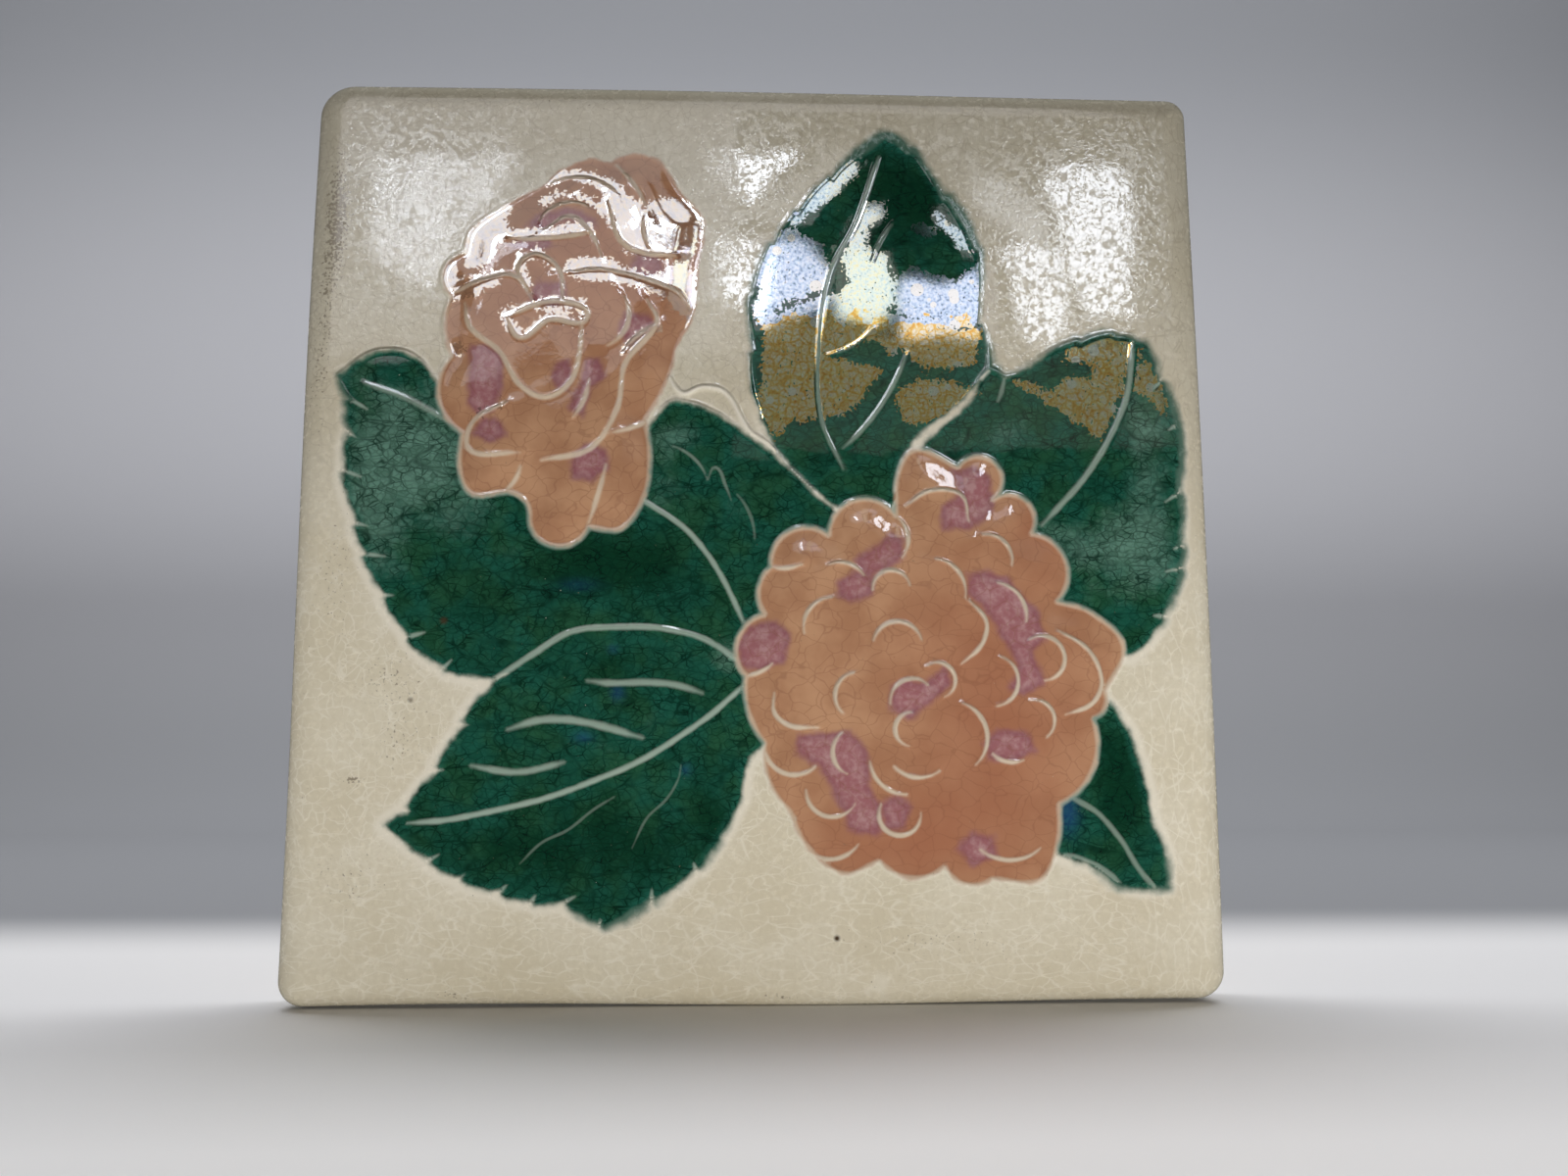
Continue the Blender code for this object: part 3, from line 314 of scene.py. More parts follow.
RIGHT_PLUM = (
    ((-3.5, -20.6), (-1.6, -16.6), (3.4, -16.0), (5.6, -18.2), (4.4, -22.8), (0.6, -24.2), (-2.6, -23.4)),
    ((16.4, -5.5), (20.0, -3.0), (22.6, -1.0), (24.6, -2.0), (24.6, -5.0), (20.0, -8.4), (18.0, -8.5)),
    ((13.3, -9.6), (16.0, -7.6), (19.5, -8.4), (19.2, -11.8), (15.2, -12.9), (13.4, -12.0)),
    (
        (33.0, 9.8), (36.6, 10.4), (39.6, 9.4), (40.2, 3.0), (36.0, -0.6), (31.2, -0.5), (31.2, 3.6),
        (34.6, 6.0),
    ),
    (
        (35.0, -8.0), (39.2, -7.6), (42.2, -8.8), (47.4, -14.8), (48.2, -19.0), (46.0, -21.0), (48.0, -26.2),
        (44.6, -28.0), (41.6, -27.3), (43.6, -23.2), (40.0, -17.5), (37.5, -13.0), (35.0, -11.2),
    ),
    (
        (22.0, -26.8), (24.0, -25.6), (28.0, -26.0), (31.0, -23.6), (32.6, -26.0), (29.6, -29.0),
        (25.4, -32.2), (22.0, -30.4),
    ),
    (
        (6.4, -34.8), (6.3, -38.0), (10.0, -39.5), (12.0, -43.0), (14.0, -47.0), (15.0, -50.2), (20.0, -51.2),
        (20.4, -46.0), (18.5, -43.0), (18.2, -37.0), (15.0, -34.0), (11.0, -34.4),
    ),
    ((20.2, -45.6), (23.0, -44.6), (25.2, -46.2), (24.2, -49.6), (21.0, -49.8)),
    ((37.4, -36.2), (40.0, -33.6), (45.0, -34.4), (46.2, -37.4), (42.0, -39.2), (38.2, -38.6)),
    ((32.4, -53.2), (35.0, -50.4), (38.6, -51.0), (39.2, -54.4), (35.6, -55.8)),
)

# Where the glaze ran thin or pooled on the leaves: middle, reach across and up, and how much thicker it is
# there
GLAZE_POOLS = (
    (-60.0, 12.0, 9.0, 11.0, -1.10),
    (-64.0, 0.0, 6.0, 14.0, -0.45),
    (-48.0, 2.0, 7.0, 5.0, -0.45),
    (-52.0, 9.0, 4.0, 6.0, -0.40),
    (-42.0, -5.0, 5.0, 2.5, -0.50),
    (-4.5, -21.5, 4.0, 3.0, -0.70),
    (-14.0, 15.0, 4.0, 3.0, -0.50),
    (-44.0, -8.0, 9.0, 8.0, 0.25),
    (-26.0, -8.0, 12.0, 6.0, 0.45),
    (-20.0, -4.0, 14.0, 7.0, 0.45),
    (-30.0, -52.0, 16.0, 6.0, 0.7),
    (-6.0, -48.0, 5.0, 8.0, 0.5),
    (-22.0, -24.0, 12.0, 4.0, 0.4),
    (-12.0, 5.0, 9.0, 8.0, -0.25),
    (27.0, 58.0, 9.0, 8.0, 0.8),
    (8.0, 20.0, 6.0, 8.0, 0.3),
    (64.0, -3.0, 8.0, 8.0, -1.0),
    (52.0, -2.0, 5.0, 6.0, -0.5),
    (67.0, 14.0, 4.0, 10.0, -0.6),
    (40.0, 16.0, 6.0, 4.0, -0.3),
    (56.0, 8.0, 6.0, 6.0, 0.3),
    (59.0, -16.0, 6.0, 4.0, 0.2),
    (60.0, -44.0, 4.0, 10.0, 0.9),
    (47.0, -57.0, 8.0, 3.0, -0.8),
)

# Grime worked into the glaze: middle, reach across and up, and strength
STAINS = (
    (-72.5, 52.0, 2.0, 13.0, 0.9),
    (-60.0, -25.0, 6.0, 5.0, 0.40),
    (-58.0, -36.0, 6.0, 6.0, 0.35),
    (-70.0, -8.0, 3.0, 14.0, 0.35),
    (-66.0, -58.0, 6.0, 5.0, 0.35),
    (30.0, -68.0, 18.0, 4.0, 0.30),
    (-74.0, 30.0, 1.6, 16.0, 0.5),
    (-66.0, -42.0, 1.6, 0.9, 0.9),
    (-66.6, 58.0, 6.0, 9.0, 0.35),
    (-48.0, -76.0, 3.0, 0.8, 0.6),
    (4.0, -76.4, 2.6, 0.8, 0.6),
    (-30.0, 74.0, 30.0, 1.6, 0.25),
    (22.0, 73.5, 1.4, 3.6, 0.4),
    (73.5, 40.0, 1.4, 20.0, 0.3),
)

# Where the glaze's weathered film lies on the upper leaves, as closed outlines
FILM_PATCHES = (
    (
        (1.0, 35.4), (0.6, 26.7), (0.2, 21.5), (1.4, 18.1), (2.9, 14.7), (6.1, 18.2), (10.1, 18.6),
        (11.6, 19.1), (14.9, 19.6), (17.4, 21.7), (19.8, 25.2), (21.4, 27.4), (16.0, 28.6), (12.2, 29.4),
        (15.0, 31.2), (20.5, 33.0), (23.1, 29.6), (24.8, 31.0), (28.5, 27.9), (33.2, 27.6), (37.6, 28.8),
        (39.0, 35.0), (33.0, 35.0), (23.5, 37.0), (13.0, 41.0), (4.0, 37.5),
    ),
    (
        (-0.4, 48.6), (2.6, 52.6), (7.0, 51.7), (11.0, 49.6), (12.2, 45.2), (12.0, 42.4), (8.2, 40.2),
        (4.6, 39.4), (0.8, 34.9), (-0.8, 37.0), (0.4, 41.6), (-1.0, 44.6),
    ),
    (
        (14.8, 47.6), (16.0, 50.0), (17.3, 54.0), (18.8, 57.4), (22.7, 57.9), (22.0, 54.8), (19.5, 53.0),
        (18.4, 49.6), (22.4, 48.0), (23.6, 43.4), (24.0, 39.2), (21.4, 37.1), (18.0, 35.6), (16.2, 38.4),
        (13.6, 39.4), (15.4, 43.0),
    ),
    (
        (23.9, 43.6), (26.7, 45.9), (31.0, 44.6), (34.9, 43.2), (38.8, 47.1), (38.8, 35.8), (33.0, 34.0),
        (29.4, 35.6), (23.9, 37.8),
    ),
    (
        (3.4, 54.0), (6.0, 57.8), (9.6, 61.4), (16.4, 66.4), (17.4, 63.2), (13.6, 58.4), (9.0, 55.4),
        (6.6, 53.2),
    ),
    ((26.6, 53.0), (28.4, 54.2), (31.4, 52.4), (30.6, 51.0), (28.2, 51.6)),
    ((31.4, 56.2), (33.6, 54.0), (36.8, 51.4), (37.4, 48.4), (35.2, 49.2), (34.0, 51.6), (31.6, 53.6)),
    (
        (23.3, 23.1), (24.6, 19.2), (26.6, 17.3), (31.4, 19.3), (34.8, 21.9), (38.3, 23.6), (34.0, 25.3),
        (29.0, 26.1), (25.5, 24.4),
    ),
    (
        (43.8, 25.9), (50.3, 24.0), (53.8, 26.6), (57.3, 26.0), (58.6, 28.6), (53.0, 29.4), (55.0, 34.0),
        (64.0, 35.0), (65.1, 32.6), (64.4, 29.1), (63.0, 23.9), (60.6, 18.7), (58.8, 14.9), (56.0, 17.8),
        (52.6, 19.5), (49.3, 22.0), (45.1, 24.6),
    ),
    ((66.3, 31.0), (68.5, 28.4), (70.6, 22.2), (70.4, 18.7), (67.8, 22.3), (64.8, 24.2)),
)

# Where the glaze of the left blossom cooled with a bright skin, as closed outlines
SKIN_PATCHES = (
    (
        (-55.6, 46.8), (-54.9, 40.4), (-50.4, 40.0), (-46.0, 42.0), (-43.6, 44.0), (-47.0, 43.4),
        (-50.0, 42.4), (-52.2, 43.2), (-51.8, 45.6), (-53.2, 47.4),
    ),
    (
        (-51.0, 48.0), (-50.5, 44.8), (-48.2, 44.2), (-45.8, 46.2), (-44.8, 49.0), (-39.8, 49.8),
        (-36.4, 49.4), (-32.6, 50.6), (-28.6, 50.4), (-28.8, 52.4), (-32.6, 52.4), (-36.4, 51.4),
        (-42.8, 51.8), (-43.8, 53.4), (-42.8, 56.0), (-44.2, 57.0), (-47.0, 55.0), (-49.9, 51.0),
    ),
    (
        (-38.4, 60.0), (-35.0, 62.4), (-31.0, 62.6), (-26.6, 61.4), (-21.8, 57.6), (-19.6, 55.2),
        (-19.0, 57.0), (-14.9, 57.8), (-12.0, 56.8), (-9.0, 52.8), (-10.8, 49.0), (-11.8, 46.0),
        (-15.2, 46.8), (-19.4, 46.6), (-23.4, 48.2), (-25.8, 52.8), (-29.0, 55.8), (-27.2, 57.8),
        (-29.2, 59.8), (-33.0, 60.8),
    ),
    (
        (-38.0, 56.8), (-34.8, 58.4), (-31.4, 58.2), (-28.0, 56.6), (-28.4, 55.6), (-31.6, 57.2),
        (-34.6, 57.2), (-37.6, 55.4),
    ),
    (
        (-34.0, 43.6), (-33.0, 45.4), (-31.0, 46.2), (-27.0, 46.6), (-22.7, 44.6), (-19.3, 44.2),
        (-16.6, 44.0), (-13.0, 46.8), (-11.2, 44.0), (-10.2, 39.6), (-10.4, 36.6), (-12.1, 34.8),
        (-13.6, 37.0), (-15.9, 39.4), (-20.2, 41.4), (-28.6, 42.3),
    ),
    (
        (-54.2, 39.6), (-50.4, 41.4), (-47.1, 43.2), (-43.2, 44.0), (-45.0, 41.4), (-47.8, 39.6),
        (-51.2, 39.2), (-56.0, 37.0),
    ),
    (
        (-42.2, 46.6), (-38.0, 47.9), (-36.4, 46.9), (-34.4, 44.6), (-35.0, 44.2), (-37.4, 46.3),
        (-40.2, 45.6), (-39.8, 43.6), (-38.4, 39.8), (-41.2, 43.4),
    ),
    (
        (-43.9, 36.8), (-41.1, 37.9), (-40.6, 36.9), (-41.6, 35.6), (-41.2, 34.2), (-40.1, 33.4),
        (-40.7, 31.6), (-43.0, 34.0),
    ),
    (
        (-41.1, 38.0), (-35.7, 39.6), (-34.4, 39.0), (-29.8, 38.8), (-29.0, 35.0), (-30.6, 34.4),
        (-30.8, 37.4), (-34.4, 37.6), (-38.0, 37.2),
    ),
    (
        (-41.1, 31.6), (-38.5, 34.7), (-35.6, 36.4), (-32.7, 36.2), (-29.8, 34.9), (-32.6, 34.7),
        (-35.6, 34.9), (-38.1, 33.5),
    ),
    ((-21.6, 29.6), (-19.6, 32.0), (-16.8, 33.8), (-17.4, 34.6), (-20.8, 33.2), (-23.0, 31.2), (-23.6, 29.6)),
    ((-48.9, 17.8), (-46.0, 20.0), (-43.2, 21.0), (-43.6, 20.0), (-46.2, 19.0), (-48.6, 17.0)),
    ((-53.0, 30.0), (-51.6, 31.4), (-50.2, 30.6), (-50.6, 29.0), (-52.4, 28.8)),
)

# Where green smoke bleeds far onto the cream: middle, reach across and up, and how many millimetres farther
BLEEDS = (
    (22.0, 68.0, 8.0, 7.0, 2.2),
    (36.0, 54.0, 6.0, 12.0, 2.0),
    (0.0, 44.0, 5.0, 12.0, 0.9),
    (41.0, 29.0, 6.0, 4.0, 1.2),
    (56.0, 34.0, 12.0, 4.0, 1.2),
    (72.0, 14.0, 4.0, 18.0, 1.4),
    (71.0, -10.0, 4.0, 10.0, 0.9),
    (-70.0, 22.0, 4.0, 8.0, 0.9),
    (-20.0, -64.0, 9.0, 4.0, 1.4),
    (-4.0, -54.0, 5.0, 5.0, 0.9),
    (54.0, -29.0, 6.0, 3.0, 1.6),
    (52.0, -60.0, 10.0, 3.0, 1.5),
    (68.0, -58.0, 3.0, 6.0, 0.9),
)

# Spots of cobalt in the green: middle, reach across and up, and strength
COBALTS = (
    (-28.6, -35.0, 1.4, 0.8, 0.6),
    (-23.1, -27.8, 1.0, 1.2, 0.7),
    (-11.7, -40.3, 0.8, 0.8, 0.5),
    (51.4, -47.5, 1.6, 3.0, 0.9),
    (-24.0, -20.6, 0.8, 0.6, 0.5),
    (-30.0, -10.0, 3.0, 1.0, 0.3),
)

# Where the coral of the blossoms is redder and deeper: middle, reach across and up, and how much
BLUSHES = (
    (40.0, -30.0, 16.0, 26.0, 0.8),
    (22.0, -52.0, 18.0, 9.0, 0.7),
    (50.0, 0.0, 6.0, 8.0, 0.6),
    (-30.0, 45.0, 24.0, 18.0, 0.5),
    (28.0, 6.0, 8.0, 5.0, -0.2),
)

# Pinholes and kiln specks: middle, radius, how dark, and how deep in millimetres
SPECKS = (
    (13.0, -67.0, 0.42, 1.0, 0.10),
    (-52.0, -16.0, 0.55, 0.7, 0.02),
    (-57.0, -29.0, 0.40, 0.6, 0.02),
)

# How far a stroke's pale glaze reaches, how it thins out at its ends, and what counts as far away
LINE_REACH = 0.00095
STROKE_TAPER = 0.0040
TAPER_SHARE = 0.45
ENDS_KEEP = 0.60
LEAF_EDGE_RIM = 0.06
OVERLAP_RIM = 0.35
OVERLAP_PALE = 0.8
BLOSSOM_EDGE_RIM = 0.35
BLOSSOM_EDGE_PALE = 0.62
LEFT_PETAL_LOOK = (0.20, 0.80, 0.92)
RIGHT_PETAL_LOOK = (0.55, 0.95, 0.80)
SLIT_LOOK = (0.05, 0.75, 0.7)
SLIT_ACROSS = 0.75
SLIT_ALONG = 0.60
SLIT_OUTER = 1.1
SLIT_SHARES = (1.0, 0.6, 0.85, 0.4)
FAR = 0.020

# The sides and the back
SIDE_SHARES = (0.25, 0.5, 0.75, 1.0)
CHAMFER_TURNS = (math.radians(30), math.radians(60), math.radians(90))
BACK_INSET = 0.0030
BACK_ROWS = 40
BACK_MARGIN_ROWS = 4
MERGE_GAP = 1e-8
OFF_FACE = {
    "leaf_depth": -20.0,
    "blossom_depth": -20.0,
    "plum_depth": -20.0,
    "film_depth": -20.0,
    "line": 0.0,
    "pale": 0.0,
    "pool": 0.0,
    "grime": 0.0,
    "speck": 0.0,
    "bleed": 0.0,
    "cobalt": 0.0,
    "blush": 0.0,
}

# Glaze colours
CREAM = "#E2DCCA"
CREAM_DEEP = "#D8D0BA"
CREAM_GRAIN = "#CFC6B0"
# Painted shade that greys the cream towards the top
CREAM_TOP_SHADE = "#B2AE9F"
# Painted highlight along the cream's cracks low down
CREAM_CRACK_HIGHLIGHT = "#F1EDE0"
CREAM_CRACK = "#A59A84"
CREAM_RIM = "#ECE7D9"
TEAL_BLEED = "#265F52"
LEAF_GREEN = "#27583F"
LEAF_BLUE_GREEN = "#1F5A4B"
LEAF_TEAL = "#658F80"
LEAF_DARK = "#0B3523"
LEAF_FRINGE = "#2C6E60"
LEAF_CRACK = "#07241A"
COBALT = "#2A4C9A"
CREST_ON_LEAF = "#A6BAAE"
CORAL = "#C39877"
CORAL_DEEP = "#AE8163"
CORAL_RED = "#A86F55"
CORAL_CRACK = "#8A5C48"
PLUM = "#A06A70"
PLUM_PALE = "#BA9496"
PLUM_DEEP = "#8A5660"
CREST_ON_BLOSSOM = "#D8CCB8"
KILN_SPECK = "#4A3A2A"
PINHOLE = "#B9C2B2"
GRIME = "#7A6E5C"

# Bare clay colours
BISCUIT = "#D9C6A6"
BISCUIT_DEEP = "#C4AC88"
GROG = "#A88E6C"

# Sizes of the glaze's patterns in millimetres. The orange peel, the pores and the dull spots of a fired glaze
# are a few tenths across, and they are drawn about 0.8 across so that a render shows them.
MILLIMETRES = 1000.0
RUN_SIZE = 16.0
CLOUD_SIZE = 6.0
BRUSH_SIZE = 2.6
MOTTLE_SIZE = 0.9
GRIT_SIZE = 0.5
PEEL_SIZE = 0.75
PEEL_HEIGHT = 0.0060
LEAF_PEEL_HEIGHT = 0.0025
BLOSSOM_PEEL_HEIGHT = 0.0090
PORE_SIZE = 0.85
PORE_DEPTH = 0.0080
DULL_SIZE = 0.95
LUSTRE_GRAIN = 0.55
FLAKE_SIZE = 0.45
BLISTER_SPACING = 3.4
BLISTER_SIZE = 0.36

# The glaze's gloss, with the dull spots of the cream ground, and its weathered film in nanometres: gold low
# down, and pearl from a height in millimetres on
GLAZE_ROUGHNESS = 0.03
DULL_ROUGHNESS = 0.34
FILM_ROUGHNESS = 0.04
GLAZE_IOR = 1.52
FILM_IOR = 2.6
GOLD_FILM = 48.0
GOLD_GRAIN = 38.0
GOLD_VEIN = 14.0
PEARL_START = 35.5
PEARL_MIDDLE = 17.0
PEARL_CREAM = 14.0
PEARL_VIOLET = 0.0
PEARL_GRAIN = 70.0
BLISTER_FILM = 56.0
SKIN_FILM = 13.0
FLAKED = 0.33

# The nets of fine cracks in the glaze: how wide the cells and the cracks are in millimetres, how the net is
# drawn out, and where it starts in its pattern. The cracks are drawn wider than real ones so that a render
# shows them. The last net is the veins in the gold lustre.
GROUND_NET = (1.9, 0.15, (1.0, 1.0, 1.0), 0.0)
LOW_NET = (1.7, 0.15, (0.45, 1.0, 1.0), 20.0)
SIDE_NET = (1.8, 0.18, (1.0, 1.0, 0.5), 60.0)
WIDE_NET = (8.0, 0.18, (0.8, 1.0, 1.0), 40.0)
GREEN_NET = (1.4, 0.17, (0.75, 1.0, 1.0), 80.0)
FINE_GREEN_NET = (0.8, 0.15, (0.7, 1.0, 1.0), 10.0)
LONG_GREEN_NET = (4.4, 0.22, (0.4, 1.0, 1.0), 30.0)
CORAL_NET = (2.6, 0.12, (0.8, 1.0, 1.0), 120.0)
LUSTRE_NET = (1.4, 0.24, (1.0, 1.0, 1.0), 200.0)

# How many bends the cracks of a net have in one cell, and how far they bend, in cells
NET_BENDS = 0.6
NET_BEND_REACH = 1.3

# Small flecks in the glaze: how far apart, how large, how many are left out, and their colour
FLECKS = ((3.2, 0.045, 0.66, KILN_SPECK), (2.3, 0.050, 0.60, PINHOLE))

# The bare clay: its clouds and its grog in millimetres, how high the grog stands, and how matt it is
CLAY_CLOUD_SIZE = 30.0
GROG_SIZE = 0.7
GROG_HEIGHT = 0.06
CLAY_ROUGHNESS = 0.88

# The colour mix node's own numbers for its factor, its two colours and its result, its setting for colours, and
# the map range node's setting for a soft start and end
FACTOR, UNDER, OVER, MIXED = 0, 6, 7, 2
COLOURS = {"data_type": "RGBA"}
SOFT = {"interpolation_type": "SMOOTHSTEP"}

# The paper sweep: a pale floor, with painted shade that greys it behind the tile and high up the backdrop, and
# a lighter painted band across the backdrop's middle
PAPER = "#F4F4F6"
PAPER_SHADE_BEHIND = "#989A9F"
PAPER_LIT_MIDDLE = "#C8C9CF"
PAPER_SHADE_HIGH = "#828489"
PAPER_ROUGHNESS = 0.8
FLOOR_GAP = 0.0003
FLOOR_FRONT = 1.2
BACKDROP_AT = 0.46
BACKDROP_HEIGHT = 1.2
SWEEP_BEND = 0.12
SWEEP_STEPS = 12
STAGE_HALF_WIDTH = 1.4

# The camera, solved from the tile's four corners in the photo
CAMERA_PLACE = (-0.00192, -0.2022, -0.0356)
CAMERA_LENS = 27.0
CAMERA_SENSOR = 36.0
CAMERA_PITCH = 0.128
CAMERA_YAW = 0.0326
CAMERA_ROLL = 0.0007

# The lit panes that stand for the windows behind the camera: how bright each is, its tint, and the outline of
# the patch of the face that mirrors it, on the master sheet. The nearer they are, the sharper their mirror
# images.
WINDOW_DISTANCE = 0.2
SLOPE_STEP = 0.0012
STEEPEST = 0.07
WINDOWS = (
    (
        30.0, "#EEF4FF",
        ((-67.4, 64.5), (-40.2, 65.6), (-46.7, 57.7), (-53.0, 49.5), (-57.0, 40.0), (-66.0, 46.5)),
    ),
    (
        1.75, "#FFFAFD",
        ((-90.0, 30.0), (-4.0, 30.0), (-4.0, 82.0), (70.0, 82.0), (70.0, 170.0), (-90.0, 170.0)),
    ),
    (21.0, "#EEF4FF", ((-10.7, 66.0), (7.9, 66.3), (3.0, 62.0), (-1.6, 56.6), (-6.0, 60.5))),
    (21.0, "#EEF4FF", ((-8.4, 51.1), (0.7, 51.3), (0.2, 37.1), (-8.8, 40.5))),
    (2.4, "#F8F1FF", ((-2.5, 51.5), (7.0, 51.0), (12.5, 46.0), (13.0, 40.0), (6.0, 36.5), (-2.0, 33.5))),
    (2.3, "#FFFFF4", ((13.5, 49.5), (24.0, 49.5), (25.0, 38.5), (21.0, 35.5), (13.5, 36.5))),
    (2.6, "#F4EFFF", ((25.5, 44.0), (33.0, 43.0), (40.5, 46.0), (41.0, 33.0), (25.0, 33.0))),
    (2.1, "#FFFFFF", ((1.0, 53.5), (5.0, 60.5), (15.0, 68.0), (19.0, 64.5), (9.0, 53.5))),
    (
        2.1, "#FFFFFF",
        ((15.0, 49.5), (15.8, 55.0), (18.6, 57.6), (22.6, 57.6), (22.0, 54.0), (19.8, 52.5), (19.0, 49.5)),
    ),
    (2.1, "#FFFFFF", ((30.5, 55.0), (32.5, 57.5), (39.0, 52.0), (39.5, 47.0), (36.0, 48.5))),
    (
        17.0, "#EEF4FF",
        (
            (49.9, 62.5), (56.3, 64.8), (63.7, 64.9), (66.7, 62.0), (66.2, 37.9), (57.2, 37.8), (54.3, 45.8),
            (52.6, 56.5),
        ),
    ),
    (
        16.5, "#EEF4FF",
        ((42.6, 49.7), (47.5, 50.5), (53.5, 49.2), (53.1, 36.0), (51.3, 32.5), (46.2, 32.1), (44.5, 41.2)),
    ),
    (5.0, "#F4F8FF", ((36.5, 63.0), (42.6, 62.7), (49.8, 56.5), (51.0, 51.1), (44.1, 51.9), (37.3, 58.1))),
    (0.37, "#FFF8F0", ((-2.0, 34.0), (12.0, 36.0), (24.0, 33.0), (70.0, 34.0), (76.0, 14.0), (-4.0, 12.0))),
)
AIR = "#C9CCD2"
AIR_STRENGTH = 0.012
SOFTBOXES = (
    ("overhead", (0.0, 0.17, 0.90), (0.0, 0.02, -0.08), (1.2, 0.3), 2.9, "#FFFFFF"),
    ("front", (0.0, -1.0, 0.10), (0.0, 0.0, -0.02), (1.4, 0.8), 0.015, "#FFFBF4"),
    ("low_front", (0.025, -0.172, -0.069), (0.0, 0.0, -0.02), (0.40, 0.016), 10.8, "#FFFAF2"),
    ("backdrop_wash", (0.0, 0.12, 0.50), (0.0, 0.46, 0.10), (1.2, 0.2), 3.2, "#FFFFFF"),
)


def arc(start, crown, end, step):
    """Points along the circle through three points."""
    (ax, az), (bx, bz), (cx, cz) = start, crown, end
    turn = 2 * ((bx - ax) * (cz - az) - (bz - az) * (cx - ax))
    if abs(turn) < 1e-6:
        return smooth((start, end), step)
    b2 = (bx - ax) ** 2 + (bz - az) ** 2
    c2 = (cx - ax) ** 2 + (cz - az) ** 2
    ox = ax + ((cz - az) * b2 - (bz - az) * c2) / turn
    oz = az + ((bx - ax) * c2 - (cx - ax) * b2) / turn
    radius = math.hypot(ax - ox, az - oz)
    first = math.atan2(az - oz, ax - ox)
    sweep = (math.atan2(cz - oz, cx - ox) - first) % math.tau
    if turn < 0:
        sweep -= math.tau
    count = max(2, round(abs(sweep) * radius / step))
    angles = first + np.linspace(0, sweep, count + 1)
    return np.column_stack([ox + radius * np.cos(angles), oz + radius * np.sin(angles)])


def smooth(points, step):
    """Points along a smooth curve through all the given points."""
    points = np.array(points, float)
    if len(points) == 2:
        tangents = np.array([points[1] - points[0]] * 2)
    else:
        inner = (points[2:] - points[:-2]) / 2
        tangents = np.vstack([points[1] - points[0], inner, points[-1] - points[-2]])
    run = [points[:1]]
    for a, b, ta, tb in zip(points[:-1], points[1:], tangents[:-1], tangents[1:]):
        length = np.linalg.norm(b - a)
        ta = ta * length / max(np.linalg.norm(ta), 1e-9)
        tb = tb * length / max(np.linalg.norm(tb), 1e-9)
        t = np.linspace(0, 1, max(1, round(length / step)) + 1)[1:, None]
        rise = t * t * (3 - 2 * t)
        run.append(a * (1 - rise) + b * rise + ta * t * (1 - t) ** 2 - tb * t * t * (1 - t))
    return np.vstack(run)


def stroke(points, step):
    """An arc through three points, or a smooth curve through any other number."""
    return arc(*points, step) if len(points) == 3 else smooth(points, step)


def ring_of_lobes(lobes, step):
    """The closed outline of a blossom."""
    cusp = lobes[-1][-1]
    outline = []
    for lobe in lobes:
        outline.append(stroke((cusp, *lobe), step)[:-1])
        cusp = lobe[-1]
    return np.vstack(outline)


def toothed(tips, step, inward, slit_share):
    """A leaf's edge from stalk to point, with the slits that run in beside its teeth.

    inward is 1 where the leaf lies to the left of the way to its point, and -1 where it lies to the right.
    slit_share is how long its slits are beside the longest.
    """
    scale = MASTER_WIDTH / TILE_WIDTH
    depth, bulge = TOOTH_DEPTH * scale, TOOTH_BELLY * scale
    reaches = [share * slit_share * SLIT_LENGTH * scale for share in SLIT_SHARES]
    edge, slits = [np.array([tips[0]])], []
    start = np.array(tips[0])
    for index in range(1, len(tips)):
        tip = np.array(tips[index])
        along = (tip - start) / np.linalg.norm(tip - start)
        across = inward * np.array([-along[1], along[0]])
        belly = (start + tip) / 2 - across * bulge
        edge.append(arc(start, belly, tip, step)[1:])
        if index < len(tips) - 1:
            start = tip + across * depth + along * depth * TOOTH_LEAN
            edge.append(start[None])
            slant = across * SLIT_ACROSS - along * SLIT_ALONG
            reach = reaches[index % len(reaches)]
            if reach:
                slits.append(
                    (*SLIT_LOOK, (start - SLIT_OUTER * slant, start + reach / 2 * slant, start + reach * slant))
                )
    return np.vstack(edge), slits


def closed(*edges):
    """One outline from edges that follow each other."""
    return np.vstack([edge[:-1] for edge in edges])


